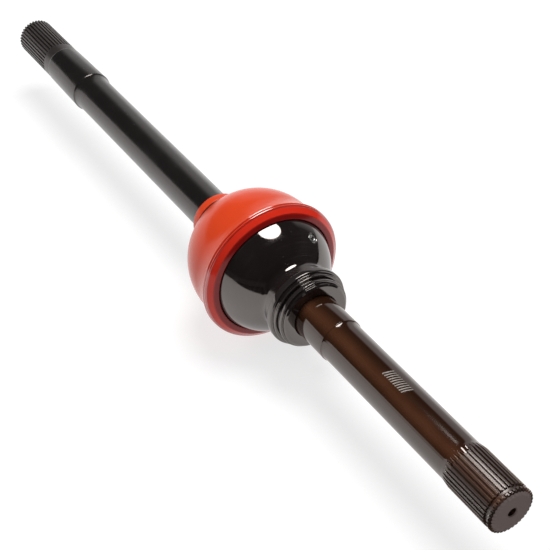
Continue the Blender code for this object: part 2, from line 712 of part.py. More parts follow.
def boot():
    """Hollow ball-shaped boot: a dome fixed to the inner shaft that slides over the bell."""
    at = boot_stations()
    fillet_r = BOOT_NECK_RADIUS + BOOT_NECK_FILLET
    to_fillet = math.atan2(fillet_r, -(at["neck"] - BOOT_SETBACK))
    lip_x = BOOT_LIP_REACH
    seal_in, seal_out = SEAL_REACH + FIT_GAP, SEAL_REACH - SEAL_WIDTH - FIT_GAP
    skirt_r = DOME_RADIUS + BOOT_SKIRT_FLARE
    bead_r = DOME_RADIUS + BEAD_HEIGHT
    lip_r = math.sqrt(SEAL_BALL_RADIUS**2 - lip_x**2) + BOOT_LIP_EDGE
    bead_x = lip_x - BEAD_SETBACK
    outside = [(lip_x, lip_r)]
    outside += [(lip_x - back, lip_r + rise) for back, rise in BOOT_RIM]
    outside += [
        (bead_x, bead_r),
        (bead_x - BEAD_WIDTH, bead_r),
        (bead_x - BEAD_WIDTH - BEAD_FALL, skirt_r),
    ]
    outside += arc(-BOOT_SETBACK, 0, DOME_RADIUS, math.pi / 2, to_fillet, FINE_RINGS + 1)
    outside += arc(
        -at["neck"], fillet_r, BOOT_NECK_FILLET, to_fillet - math.pi, -math.pi / 2, 3
    )[1:]
    clamp_seat = BOOT_NECK_RADIUS - CLAMP_GROOVE_DEPTH
    outside += groove(
        -at["clamp"], -(at["clamp"] + CLAMP_GROOVE_WIDTH), clamp_seat, BOOT_NECK_RADIUS
    )
    bore = INNER_SHAFT_RADIUS + FIT_GAP
    outside += [
        (-at["end"] + FACE_CHAMFER, BOOT_NECK_RADIUS),
        (-at["end"], BOOT_NECK_RADIUS - FACE_CHAMFER),
        (-at["end"], bore),
    ]
    bore_angle = math.pi - math.asin(bore / DOME_INNER_RADIUS)
    inside = arc(-BOOT_SETBACK, 0, DOME_INNER_RADIUS, bore_angle, math.pi / 2, FINE_RINGS)
    groove_r = SEAL_BALL_RADIUS + SEAL_HEIGHT + FIT_GAP
    bore_end = lip_x - BOOT_LIP_BORE
    inside += [
        (0, SEAL_BALL_RADIUS),
        (seal_out, math.sqrt(SEAL_BALL_RADIUS**2 - seal_out**2)),
        (seal_out, math.sqrt(groove_r**2 - seal_out**2)),
        (seal_in, math.sqrt(groove_r**2 - seal_in**2)),
        (seal_in, math.sqrt(SEAL_BALL_RADIUS**2 - seal_in**2)),
        (bore_end, math.sqrt(SEAL_BALL_RADIUS**2 - bore_end**2)),
    ]
    return turned("boot", outside + inside, closed=True)


def boot_seal_ring():
    """Rubber wiper in the boot's rim that rides on the bell."""
    x_in, x_out = SEAL_REACH, SEAL_REACH - SEAL_WIDTH
    low, high = BELL_RADIUS + SEAL_GAP, SEAL_BALL_RADIUS + SEAL_HEIGHT
    profile = [
        (x_in, math.sqrt(low**2 - x_in**2)),
        (x_in, math.sqrt(high**2 - x_in**2)),
        (x_out, math.sqrt(high**2 - x_out**2)),
        (x_out, math.sqrt(low**2 - x_out**2)),
    ]
    return turned("boot_seal_ring", profile, closed=True)


def boot_clamp():
    """Crimped band clamp round the boot's neck, with its ear."""
    at = boot_stations()["clamp"]
    x_low, x_high = -(at + CLAMP_GROOVE_WIDTH - FIT_GAP), -(at + FIT_GAP)
    inner = BOOT_NECK_RADIUS - CLAMP_GROOVE_DEPTH + FIT_GAP
    outer = inner + CLAMP_THICKNESS
    profile = [(x_low, outer), (x_high, outer), (x_high, inner), (x_low, inner)]
    made = turned("boot_clamp", profile, closed=True)
    mesh = bmesh.new()
    bmesh.ops.create_cube(mesh, size=1)
    height = CLAMP_EAR_HEIGHT + CLAMP_THICKNESS / 2
    size = (x_high - x_low - FIT_GAP, height, CLAMP_EAR_LENGTH)
    bmesh.ops.scale(mesh, verts=mesh.verts, vec=size)
    lift = (inner + outer) / 2 + height / 2
    bmesh.ops.translate(mesh, verts=mesh.verts, vec=((x_low + x_high) / 2, lift, 0))
    turn = Matrix.Rotation(math.radians(CLAMP_EAR_ANGLE), 3, "X")
    bmesh.ops.rotate(mesh, verts=mesh.verts, cent=(0, 0, 0), matrix=turn)
    boolean(made, object_of("clamp_ear", mesh), "UNION")
    return made


def group(name, pieces):
    """An empty at the joint's centre that carries the pieces which move together."""
    empty = bpy.data.objects.new(name, None)
    empty.location = (JOINT_X, 0, 0)
    bpy.context.scene.collection.objects.link(empty)
    for piece, finish in pieces:
        piece.parent = empty
        piece.data.materials.clear()
        piece.data.materials.append(finish)


def clear_scene():
    for existing in list(bpy.data.objects):
        bpy.data.objects.remove(existing, do_unlink=True)


def build():
    clear_scene()
    black = material("black_steel", BLACK_STEEL)
    satin = material("satin_black_steel", SATIN_BLACK_STEEL)
    bronzed = material("bronzed_steel", BRONZED_STEEL)
    bearing = material("bearing_steel", BEARING_STEEL)
    spring = material("spring_steel", SPRING_STEEL)
    zinc = material("plug_steel", PLUG_STEEL)
    urethane = material("orange_urethane", ORANGE_URETHANE)
    rubber = material("black_rubber", BLACK_RUBBER)
    at = seat_stations()
    ball = balls()
    clip_at = RACE_HALF_WIDTH + FIT_GAP
    group(
        "inner_axle",
        [
            (inner_shaft(), satin),
            (inner_race(), bearing),
            (spring_clip("race_snap_ring", clip_at), spring),
            (spring_clip("race_stop_ring", -clip_at - CLIP_THICKNESS), spring),
            (boot(), urethane),
            (boot_seal_ring(), rubber),
            (boot_clamp(), spring),
        ],
    )
    group("swivel_in", [(ball[0], bearing)])
    group("cage_group", [(cage(), bearing)] + [(ball[k], bearing) for k in (1, 2, 4, 5)])
    group("swivel_out", [(ball[3], bearing)])
    group(
        "outer_axle",
        [
            (bell(), black),
            (stub_shaft(), bronzed),
            (spring_clip("stub_snap_ring", at["floor"] - CLIP_THICKNESS - FIT_GAP), spring),
            (o_ring(), rubber),
            (grease_plug(), zinc),
        ],
    )
    for helper_object in bpy.data.objects:
        if helper_object.type == "MESH" and helper_object.parent is None:
            helper_object.location = (JOINT_X, 0, 0)


build()
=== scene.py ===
"""Finished look of a constant-velocity front axle, laid out as a set of add-on operators in one file.

Lengths are in metres. An outline is a list of (x, r) points: x along the axle from the joint's centre,
positive towards the stub shaft, and r out from the axle's axis.
"""

import json
import math

import bmesh
import bpy
from bpy.props import FloatProperty, FloatVectorProperty, IntProperty, PointerProperty
from mathutils import Matrix, Vector


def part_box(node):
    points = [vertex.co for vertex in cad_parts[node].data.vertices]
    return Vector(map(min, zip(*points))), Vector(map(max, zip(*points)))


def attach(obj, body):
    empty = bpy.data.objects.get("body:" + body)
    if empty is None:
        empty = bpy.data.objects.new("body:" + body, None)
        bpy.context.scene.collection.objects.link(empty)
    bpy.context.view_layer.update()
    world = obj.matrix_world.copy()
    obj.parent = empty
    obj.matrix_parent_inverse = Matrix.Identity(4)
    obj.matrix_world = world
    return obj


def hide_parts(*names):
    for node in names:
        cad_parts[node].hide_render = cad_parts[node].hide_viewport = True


bl_info = {
    "name": "CV Axle Finish",
    "version": (1, 0, 0),
    "blender": (4, 5, 0),
    "location": "3D View > Sidebar > CV Axle",
    "description": "Builds the finished shafts, joint and boot of a constant-velocity axle",
    "category": "Object",
}

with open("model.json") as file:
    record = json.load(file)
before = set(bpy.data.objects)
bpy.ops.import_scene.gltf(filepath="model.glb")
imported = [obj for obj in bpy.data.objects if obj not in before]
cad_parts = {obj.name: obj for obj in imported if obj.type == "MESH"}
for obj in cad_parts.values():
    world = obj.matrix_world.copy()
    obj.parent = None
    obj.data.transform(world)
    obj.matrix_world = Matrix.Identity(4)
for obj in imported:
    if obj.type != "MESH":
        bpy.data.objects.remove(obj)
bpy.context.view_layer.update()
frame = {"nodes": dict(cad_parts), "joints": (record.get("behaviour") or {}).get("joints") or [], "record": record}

JOINT = Vector(frame["joints"][0]["pos_m"])


def span(node):
    """Lowest and highest x of a CAD node, from the joint's centre."""
    low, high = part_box(node)
    return low.x - JOINT.x, high.x - JOINT.x


INNER_END, INNER_TIP = span("inner_shaft")
STUB_SEAT, STUB_END = span("stub_shaft")
BELL_MOUTH, BELL_FACE = span("outer_bell")
BOOT_END, BOOT_LIP = span("boot")
CLAMP_LOW, CLAMP_HIGH = span("boot_clamp")
SEAL_LOW, SEAL_HIGH = span("boot_seal_ring")
RACE_LOW, RACE_HIGH = span("inner_race")
CAGE_LOW, CAGE_HIGH = span("cage")
O_RING_LOW, O_RING_HIGH = span("stub_o_ring")
BALL_LOW, BALL_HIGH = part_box("ball_1")
BALL_RADIUS = (BALL_HIGH.z - BALL_LOW.z) / 2
PITCH_RADIUS = (BALL_HIGH.y + BALL_LOW.y) / 2
RACE_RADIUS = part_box("inner_race")[1].z
BEAD_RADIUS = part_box("boot")[1].z
SPLINE_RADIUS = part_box("stub_shaft")[1].z
CLIP_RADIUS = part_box("race_snap_ring")[1].z
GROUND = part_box("boot")[0].z - 0.0004
BALL_COUNT = sum(node.startswith("ball_") for node in frame["nodes"])

# Making the meshes: degrees, then metres
MOUTH_SLOPE = 37.2
WELD = 1e-6
EDGE_ROUND = 0.0003
CLIP_GAP = 0.0003

# Details of the finishes: stations from the joint's centre in metres, turns in degrees
BALL_FACE_END = 0.046
FILLET_MIDDLE = 0.0515
PANEL_START, PANEL_END = 0.186, 0.212
PANEL_LOW, PANEL_HIGH = 82, 110
PANEL_PITCH = 0.0026
PANEL_SLANT = 0.006
# Painted sheen on the stub shaft: its brown is lightest in this many bands round it, the first centred at this
# turn, and darker between them
SHEEN_BANDS = 4
SHEEN_TURN = 135.0

# The stage
FLOOR_REACH = 12.0
SWEEP_EDGE = 0.28
CAMERA_LENS = 86.4
CAMERA_AIM = 0.0147
CAMERA_SIDE = (0.680, -0.412, 0.606)
CAMERA_DISTANCE = 1.085

# Colours shared by the finishes
WARM = (1.0, 0.90, 0.85, 1.0)
DUST = (0.45, 0.44, 0.42)


def length(name, about, size):
    """A length that a user may change."""
    return FloatProperty(name=name, description=about, default=size, min=0, precision=5, unit="LENGTH")


def colour(name, about, rgb):
    """A finish colour that a user may change."""
    return FloatVectorProperty(
        name=name, description=about, default=rgb, size=3, min=0, max=1, subtype="COLOR"
    )


class AxleShafts(bpy.types.PropertyGroup):
    """Sizes of the two shafts and their splines."""

    teeth: IntProperty(name="Teeth", description="Teeth of every spline", default=35, min=6)
    columns: IntProperty(name="Columns", description="Faces round one tooth", default=20, min=8)
    depth: length("Tooth depth", "Height of a spline tooth", 0.00135)
    shaft: length("Inner shaft radius", "Plain stretch of the inner shaft", 0.0186)
    stub: length("Stub shaft radius", "Plain stretch of the stub shaft", 0.018)
    inner_spline: length("Inner spline", "Length of the spline at the inner end", 0.063)
    stub_spline: length("Stub spline", "Length of the spline at the stub end", 0.0477)
    ramp: length("Stub ramp", "Length of the ramp up to the stub spline", 0.0075)
    chamfer: length("End chamfer", "Length of the chamfers at both ends", 0.002)
    chamfer_rise: length("End chamfer rise", "Depth of the chamfers at both ends", 0.0045)
    relief: length("Relief", "Plain band behind the inner spline", 0.015)
    land: length("Seal land", "Length of the conical seal land", 0.064)
    land_low: length("Seal land, outer", "Radius of the land beside the relief", 0.01945)
    land_high: length("Seal land, inner", "Radius of the land beside its step", 0.02025)
    land_step: length("Seal land step", "Length of the hollow step behind the land", 0.013)
    journal: length("Stub journal", "Length of the journal outside the collar", 0.0356)
    journal_step: length("Journal step", "Length of the hollow step after the journal", 0.0085)
    clip_seat: length("Clip seat", "Radius of the bottom of the clip grooves", 0.0173)
    clip_width: length("Clip groove", "Width of the groove at the stub end", 0.003)
    clip_lip: length("Clip lip", "Land between that groove and the chamfer", 0.0023)
    drilling: length("Centre drilling", "Radius of the centre holes", 0.0037)
    drilling_depth: length("Drilling depth", "Depth of the centre holes", 0.009)


class AxleJoint(bpy.types.PropertyGroup):
    """Sizes of the bell, its collar, the cage and the small rings."""

    facets: IntProperty(name="Facets", description="Faces round a turned piece", default=192, min=32)
    track_gap: length("Track gap", "Radial gap between a ball and its track", 0.0005)
    track_side: length("Track side gap", "Gap beside a ball in its track", 0.0023)
    wall: length("Bell wall", "Wall outside a ball track", 0.0055)
    neck: length("Neck radius", "Neck between the ball and its collar", 0.030)
    neck_fillet: length("Neck fillet", "Hollow fillet from the ball to the neck", 0.0065)
    flange: length("Flange radius", "Widest part of the collar", 0.0349)
    shoulder: length("Shoulder radius", "Step in front of the flange", 0.033)
    undercut: length("Undercut radius", "Groove in front of the shoulder", 0.0298)
    front_ring: length("Front ring radius", "Ring in front of the undercut", 0.031)
    face: length("Face radius", "Disc round the stub shaft", 0.0292)
    pocket: length("Clip pocket radius", "Pocket round the stub shaft's clip", 0.0243)
    floor: length("Bell floor", "Inside of the bell's end wall", 0.0412)
    gap: length("Fit gap", "Gap between pieces that fit together", 0.0003)
    sphere_gap: length("Sphere gap", "Gap between the ball-shaped faces", 0.0005)
    cage: length("Cage wall", "Thickness of the ball cage", 0.0063)
    plug: length("Plug radius", "Radius of the grease plug", 0.004)
    plug_length: length("Plug length", "Length of the grease plug", 0.0046)
    plug_recess: length("Plug recess", "How far the plug lies below the bell", 0.0006)
    port: length("Grease port radius", "Hole below the grease plug", 0.0018)
    socket: length("Socket radius", "Corners of the hexagon socket in the plug", 0.0019)


class AxleBoot(bpy.types.PropertyGroup):
    """Sizes of the boot and its clamp."""

    wall: length("Boot wall", "Thickness of the boot", 0.0045)
    setback: length("Dome setback", "Distance of the dome's centre behind the joint's", 0.012)
    neck: length("Neck radius", "Outside of the neck", 0.0243)
    neck_fillet: length("Neck fillet", "Fillet between the dome and the neck", 0.004)
    bore: length("Neck bore", "Inside of the neck", 0.0189)
    groove: length("Clamp groove", "Depth of the groove for the clamp", 0.0016)
    skirt_flare: length("Skirt flare", "How far the skirt flares beside the bead", 0.0030)
    bevel: length("Lip bevel", "Depth of the bevel that faces the bell's collar", 0.0012)
    band_end: length("Rim band", "Distance from the lip to the end of the plain rim band", 0.0050)
    bead: length("Bead radius", "Radius of the two round beads behind the band", 0.0012)
    valley: length("Bead valley", "Distance from the lip to the valley between the beads", 0.0074)
    crease: length("Rim crease", "Distance from the lip to the crease behind the beads", 0.0099)
    band: length("Band thickness", "Thickness of the clamp's band", 0.0008)
    ear: length("Ear height", "Height of the clamp's ear", 0.0036)
    ear_width: length("Ear width", "Width of the clamp's ear round the neck", 0.0052)
    ear_angle: FloatProperty(
        name="Ear angle",
        description="Turn of the ear from +Y",
        default=math.radians(68),
        subtype="ANGLE",
    )


class AxleFinishes(bpy.types.PropertyGroup):
    """Colours of the finishes."""

    satin_black: colour("Satin black", "Oxide finish of the inner shaft", (0.010, 0.0085, 0.0085))
    polished_black: colour("Polished black", "Finish of the bell", (0.011, 0.0080, 0.0078))
    bronze: colour("Bronze brown", "Heat tint of the stub shaft", (0.068, 0.025, 0.0115))
    orange: colour("Orange", "Moulded urethane of the boot", (0.62, 0.052, 0.012))
    rim: colour("Rim red", "Plain band of the boot's rim", (0.74, 0.030, 0.013))
    # Painted shade: this dark red is laid in the boot's creases and on its lip bevel, where shade falls
    crease_shade: colour("Crimson", "Creases and lip of the boot", (0.36, 0.010, 0.008))
    zinc: colour("Zinc", "Plating of the grease plug", (0.62, 0.61, 0.58))
    spring: colour("Spring steel", "Clamp and spring clips", (0.15, 0.15, 0.16))
    bearing: colour("Bearing steel", "Balls, cage and race", (0.60, 0.60, 0.61))
    rubber: colour("Rubber", "O-ring and wiper", (0.018, 0.018, 0.018))


# Building node trees -------------------------------------------------------------------------------


def add(tree, kind, values=None, out=0, **settings):
    """Adds a node with its settings, feeds its inputs and returns one of its outputs."""
    node = tree.nodes.new(kind)
    for key, value in settings.items():
        setattr(node, key, value)
    for key, value in (values or {}).items():
        if isinstance(value, bpy.types.NodeSocket):
            tree.links.new(value, node.inputs[key])
        else:
            node.inputs[key].default_value = value
    return node.outputs[out]


def calc(tree, operation, *terms):
    """A Math node on sockets or numbers."""
    return add(tree, "ShaderNodeMath", dict(enumerate(terms)), operation=operation)


def ramp(tree, value, start, end, low=0.0, high=1.0, **settings):
    """Goes from low to high, and no further, while value goes from start to end."""
    inputs = {"Value": value, "From Min": start, "From Max": end, "To Min": low, "To Max": high}
    return add(tree, "ShaderNodeMapRange", inputs, **settings)


def within(tree, value, low, high):
    """1 between two values and 0 outside them."""
    off = calc(tree, "ABSOLUTE", calc(tree, "SUBTRACT", value, (low + high) / 2))
    return calc(tree, "LESS_THAN", off, (high - low) / 2)


def band(tree, value, station, full, faded, strength=1.0):
    """A mask round a station: at its strength up to one distance from it, and gone at another."""
    off = calc(tree, "ABSOLUTE", calc(tree, "SUBTRACT", value, station))
    return ramp(tree, off, full, faded, strength, 0.0)


def noise(tree, place, scale, detail, **more):
    """A noise texture. more holds its other inputs."""
    inputs = {"Vector": place, "Scale": scale, "Detail": detail, **more}
    return add(tree, "ShaderNodeTexNoise", inputs)


def axes_of(tree, vector):
    """The X, Y and Z of a vector."""
    return add(tree, "ShaderNodeSeparateXYZ", {"Vector": vector}).node.outputs


def object_place(tree):
    """The place on the piece, whole and split into its axes."""
    place = add(tree, "ShaderNodeTexCoord", out="Object")
    return place, axes_of(tree, place)


def new_group(kind, name, inputs, outputs):
    """A node group with its named sockets, and what its inputs give inside it."""
    tree = bpy.data.node_groups.new(name, kind)
    for label, (socket, default) in inputs.items():
        made = tree.interface.new_socket(label, in_out="INPUT", socket_type="NodeSocket" + socket)
        if default is not None:
            made.default_value = default
    for label, socket in outputs.items():
        tree.interface.new_socket(label, in_out="OUTPUT", socket_type="NodeSocket" + socket)
    return tree, tree.nodes.new("NodeGroupInput").outputs


def group_output(tree, **results):
    """Links the results of a group to its outputs."""
    node = tree.nodes.new("NodeGroupOutput")
    for name, socket in results.items():
        tree.links.new(socket, node.inputs[name])


# Geometry node trees -------------------------------------------------------------------------------


def turned_tree():
    """Turns an outline about the X axis, and cuts evenly spaced spline valleys into it."""
    name = "Turned Piece"
    if name in bpy.data.node_groups:
        return bpy.data.node_groups[name]
    tree, given = new_group(
        "GeometryNodeTree",
        name,
        {
            "Outline": ("Geometry", None),
            "Columns": ("Int", 160),
            "Teeth": ("Int", 1),
            "Root Radius": ("Float", 1.0),
            "Tooth Depth": ("Float", 0.001),
            "Floor Share": ("Float", 0.3),
            "Mouth Share": ("Float", 0.6),
            "Valley Start": ("Float", 0.0),
            "Valley End": ("Float", 0.0),
            "Start Run Out": ("Float", 0.001),
            "End Run Out": ("Float", 0.001),
            "Edge Rounding": ("Float", 0.0002),
            "Finish": ("Material", None),
        },
        {"Piece": "Geometry"},
    )
    stations = add(
        tree,
        "GeometryNodeAttributeDomainSize",
        {"Geometry": given["Outline"]},
        out="Point Count",
        component="MESH",
    )
    around = calc(tree, "ADD", given["Columns"], 1)
    grid = add(tree, "GeometryNodeMeshGrid", {"Vertices X": stations, "Vertices Y": around})
    index = add(tree, "GeometryNodeInputIndex")
    station = calc(tree, "FLOOR", calc(tree, "DIVIDE", index, around))
    column = calc(tree, "SUBTRACT", index, calc(tree, "MULTIPLY", station, around))
    turn = calc(tree, "DIVIDE", column, given["Columns"])
    angle = calc(tree, "MULTIPLY", turn, math.tau)
    place = add(tree, "GeometryNodeInputPosition")
    point = add(
        tree,
        "GeometryNodeSampleIndex",
        {"Geometry": given["Outline"], "Value": place, "Index": station},
        data_type="FLOAT_VECTOR",
        domain="POINT",
    )
    split = axes_of(tree, point)
    along, out = split["X"], split["Y"]

    phase = calc(tree, "FRACT", calc(tree, "MULTIPLY_ADD", turn, given["Teeth"], 0.5))
    share = calc(tree, "ABSOLUTE", calc(tree, "SUBTRACT", phase, 0.5))
    floor = calc(tree, "MULTIPLY", given["Floor Share"], 0.5)
    mouth = calc(tree, "MULTIPLY", given["Mouth Share"], 0.5)
    past_floor = calc(tree, "SUBTRACT", share, floor)
    flank = calc(tree, "DIVIDE", past_floor, calc(tree, "SUBTRACT", mouth, floor))
    short = calc(tree, "SUBTRACT", given["Valley Start"], along)
    beyond = calc(tree, "SUBTRACT", along, given["Valley End"])
    before = calc(tree, "DIVIDE", short, given["Start Run Out"])
    after = calc(tree, "DIVIDE", beyond, given["End Run Out"])
    run_out = calc(tree, "MAXIMUM", calc(tree, "MAXIMUM", before, after), 0)
    rise = calc(tree, "ADD", calc(tree, "MAXIMUM", flank, 0), calc(tree, "POWER", run_out, 2))
    valley = calc(tree, "MULTIPLY_ADD", rise, given["Tooth Depth"], given["Root Radius"])
    radius = calc(tree, "SMOOTH_MIN", out, valley, given["Edge Rounding"])

    place = add(
        tree,
        "ShaderNodeCombineXYZ",
        {
            "X": along,
            "Y": calc(tree, "MULTIPLY", radius, calc(tree, "COSINE", angle)),
            "Z": calc(tree, "MULTIPLY", radius, calc(tree, "SINE", angle)),
        },
    )
    moved = add(tree, "GeometryNodeSetPosition", {"Geometry": grid, "Position": place})
    merged = add(tree, "GeometryNodeMergeByDistance", {"Geometry": moved, "Distance": 2 * WELD})
    solid = add(tree, "GeometryNodeRealizeInstances", {"Geometry": merged})
    piece = add(tree, "GeometryNodeSetMaterial", {"Geometry": solid, "Material": given["Finish"]})
    group_output(tree, Piece=piece)
    return tree


def balls_tree():
    """Puts a polished ball on every point of the input."""
    name = "Balls on Points"
    if name in bpy.data.node_groups:
        return bpy.data.node_groups[name]
    tree, given = new_group(
        "GeometryNodeTree",
        name,
        {"Points": ("Geometry", None), "Radius": ("Float", 0.01), "Finish": ("Material", None)},
        {"Balls": "Geometry"},
    )
    ball = add(
        tree, "GeometryNodeMeshUVSphere", {"Segments": 48, "Rings": 24, "Radius": given["Radius"]}
    )
    placed = add(tree, "GeometryNodeInstanceOnPoints", {"Points": given["Points"], "Instance": ball})
    solid = add(tree, "GeometryNodeRealizeInstances", {"Geometry": placed})
    balls = add(tree, "GeometryNodeSetMaterial", {"Geometry": solid, "Material": given["Finish"]})
    group_output(tree, Balls=balls)
    return tree


def tracks_tree():
    """Oval tubes bent about the joint's centre, one on each point: cutters for the ball tracks."""
    name = "Ball Tracks"
    if name in bpy.data.node_groups:
        return bpy.data.node_groups[name]
    tree, given = new_group(
        "GeometryNodeTree",
        name,
        {
            "Points": ("Geometry", None),
            "Pitch Radius": ("Float", 0.037),
            "Track Radius": ("Float", 0.0116),
            "Oval": ("Float", 1.0),
            "Start": ("Float", 0.0),
            "Sweep": ("Float", 1.0),
            "Finish": ("Material", None),
        },
        {"Tracks": "Geometry"},
    )
    path = add(
        tree,
        "GeometryNodeCurveArc",
        {
            "Resolution": 24,
            "Radius": given["Pitch Radius"],
            "Start Angle": given["Start"],
            "Sweep Angle": given["Sweep"],
        },
    )
    section = add(
        tree,
        "GeometryNodeCurvePrimitiveCircle",
        {"Resolution": 32, "Radius": given["Track Radius"]},
    )
    tube = add(
        tree, "GeometryNodeCurveToMesh", {"Curve": path, "Profile Curve": section, "Fill Caps": True}
    )
    size = add(tree, "ShaderNodeCombineXYZ", {"X": 1.0, "Y": 1.0, "Z": given["Oval"]})
    oval = add(tree, "GeometryNodeTransform", {"Geometry": tube, "Scale": size})
    step = calc(tree, "MULTIPLY", add(tree, "GeometryNodeInputIndex"), math.tau / BALL_COUNT)
    turn = add(tree, "ShaderNodeCombineXYZ", {"X": step})
    placed = add(
        tree,
        "GeometryNodeInstanceOnPoints",
        {"Points": given["Points"], "Instance": oval, "Rotation": turn},
    )
    solid = add(tree, "GeometryNodeRealizeInstances", {"Geometry": placed})
    tracks = add(tree, "GeometryNodeSetMaterial", {"Geometry": solid, "Material": given["Finish"]})
    group_output(tree, Tracks=tracks)
    return tree


# Pieces as meshes ----------------------------------------------------------------------------------


def linked(name, data):
    """A new object in the scene."""
    made = bpy.data.objects.new(name, data)
    bpy.context.scene.collection.objects.link(made)
    return made


def evaluated(name, source, tree=None, inputs=None):
    """A plain mesh object of source as its modifiers leave it. source is removed."""
    if tree:
        modifier = source.modifiers.new(tree.name, "NODES")
        modifier.node_group = tree
        for item in tree.interface.items_tree:
            if item.in_out == "INPUT" and item.name in inputs:
                modifier[item.identifier] = inputs[item.name]
    bpy.context.view_layer.update()
    finished = source.evaluated_get(bpy.context.evaluated_depsgraph_get())
    mesh = bpy.data.meshes.new_from_object(finished)
    bpy.data.objects.remove(source)
    mesh.name = name
    return linked(name, mesh)


def polished(made, sharp=32.0):
    """Merges doubles, points the faces outwards and shades the piece smooth between its edges."""
    mesh = bmesh.new()
    mesh.from_mesh(made.data)
    bmesh.ops.remove_doubles(mesh, verts=mesh.verts, dist=WELD)
    bmesh.ops.recalc_face_normals(mesh, faces=mesh.faces)
    mesh.to_mesh(made.data)
    mesh.free()
    made.data.shade_smooth()
    made.data.set_sharp_from_angle(angle=math.radians(sharp))
    return made


def points_object(name, points, joined=True):
    """A mesh of bare points, joined in order if they are an outline."""
    mesh = bpy.data.meshes.new(name)
    edges = [(k, k + 1) for k in range(len(points) - 1)] if joined else []
    mesh.from_pydata(points, edges, [])
    return linked(name, mesh)


def cutter_object(name, mesh, finish):
    """An object of a bmesh, which is freed, in a finish."""
    data = bpy.data.meshes.new(name)
    mesh.to_mesh(data)
    mesh.free()
    data.materials.append(finish)
    return linked(name, data)


def turned(name, outline, finish, columns, centre=None, **teeth):
    """A finished solid of revolution about the axle's axis. teeth holds the tree's other inputs."""
    shift = JOINT.x if centre is None else centre
    source = points_object(name + "_outline", [(x + shift, r, 0) for x, r in outline])
    inputs = {key.replace("_", " ").title(): value for key, value in teeth.items()}
    inputs.update({"Columns": columns, "Finish": finish})
    return polished(evaluated(name, source, turned_tree(), inputs))


def cut(made, *cutters, operation="DIFFERENCE"):
    """Cuts pieces away from made, or joins them to it, and shades the result again."""
    name = made.name
    for cutter in cutters:
        modifier = made.modifiers.new(cutter.name, "BOOLEAN")
        modifier.object = cutter
        modifier.operation = operation
        modifier.solver = "EXACT"
    made.name = name + "_uncut"
    result = evaluated(name, made)
    for cutter in cutters:
        bpy.data.objects.remove(cutter)
    return polished(result)


def ball_tracks(name, s, finish, start, sweep):
    """The cutter for all ball tracks, from start through sweep, both in degrees."""
    inputs = {
        "Pitch Radius": PITCH_RADIUS,
        "Track Radius": BALL_RADIUS + s.track_gap,
        "Oval": (BALL_RADIUS + s.track_side) / (BALL_RADIUS + s.track_gap),
        "Start": math.radians(start),
        "Sweep": math.radians(sweep),
        "Finish": finish,
    }
    source = points_object(name + "_points", [JOINT] * BALL_COUNT, joined=False)
    return polished(evaluated(name, source, tracks_tree(), inputs))


# Outlines ------------------------------------------------------------------------------------------


def arc(centre_x, centre_r, radius, start, end, steps):
    """Points on an arc. Its angles, in radians, are measured from +X towards +r."""
    angles = [start + (end - start) * k / steps for k in range(steps + 1)]
    return [(centre_x + radius * math.cos(a), centre_r + radius * math.sin(a)) for a in angles]


def straight(x_low, r_low, x_high, r_high, steps):
    """Evenly spaced points between two stations, both included."""
    shares = [k / steps for k in range(steps + 1)]
    return [(x_low + (x_high - x_low) * f, r_low + (r_high - r_low) * f) for f in shares]


def hollow(x_low, r_low, x_high, r_high, steps=8):
    """Points between two stations on a hollow quarter ellipse, flat at the thinner end."""
    turns = [math.pi / 2 * k / steps for k in range(1, steps)]
    along, rise = x_high - x_low, r_high - r_low
    if rise > 0:
        return [(x_low + along * math.sin(t), r_low + rise * (1 - math.cos(t))) for t in turns]
    return [(x_low + along * (1 - math.cos(t)), r_low + rise * math.sin(t)) for t in turns]


def rounded(corners, steps=4):
    """Outline through corners of (x, r) or (x, r, rounding), where a rounding is an arc's radius."""
    outline = []
    for k, corner in enumerate(corners):
        here = Vector(corner[:2])
        if len(corner) < 3 or k in (0, len(corners) - 1):
            outline.append(tuple(here))
            continue
        back = Vector(corners[k - 1][:2]) - here
        ahead = Vector(corners[k + 1][:2]) - here
        reach_limit = 0.45 * min(back.length, ahead.length)
        back.normalize()
        ahead.normalize()
        half = back.angle(ahead) / 2
        if half > math.radians(89):
            outline.append(tuple(here))
            continue
        reach = min(corner[2] / math.tan(half), reach_limit)
        radius = reach * math.tan(half)
        centre = here + (back + ahead).normalized() * math.hypot(reach, radius)
        start, end = here + back * reach - centre, here + ahead * reach - centre
        sweep = start.angle_signed(end)
        for j in range(steps + 1):
            turn = -sweep * j / steps
            spoke = Vector(
                (
                    start.x * math.cos(turn) - start.y * math.sin(turn),
                    start.x * math.sin(turn) + start.y * math.cos(turn),
                )
            )
            outline.append(tuple(centre + spoke))
    return outline


def drilled_end(x_face, into, s):
    """Corners of a centre drilling, from its tip on the axis to the edge of the end face."""
    bottom = x_face + into * s.drilling_depth
    return [
        (bottom + into * s.drilling / 2, 0),
        (bottom, s.drilling),
        (x_face + into * 0.0007, s.drilling, 0.0002),
        (x_face, s.drilling + 0.0005, 0.0002),
    ]


def groove(x_low, x_high, seat, outside, rounding=EDGE_ROUND):
    """Corners of a square groove in a shaft."""
    return [
        (x_low, outside, rounding),
        (x_low, seat, rounding),
        (x_high, seat, rounding),
        (x_high, outside, rounding),
    ]


def clip_groove(node, s):
    """Corners of the groove round a spring clip or a ring, from its CAD node's place."""
    low, high = span(node)
    return groove(low - CLIP_GAP, high + CLIP_GAP, s.clip_seat, SPLINE_RADIUS)


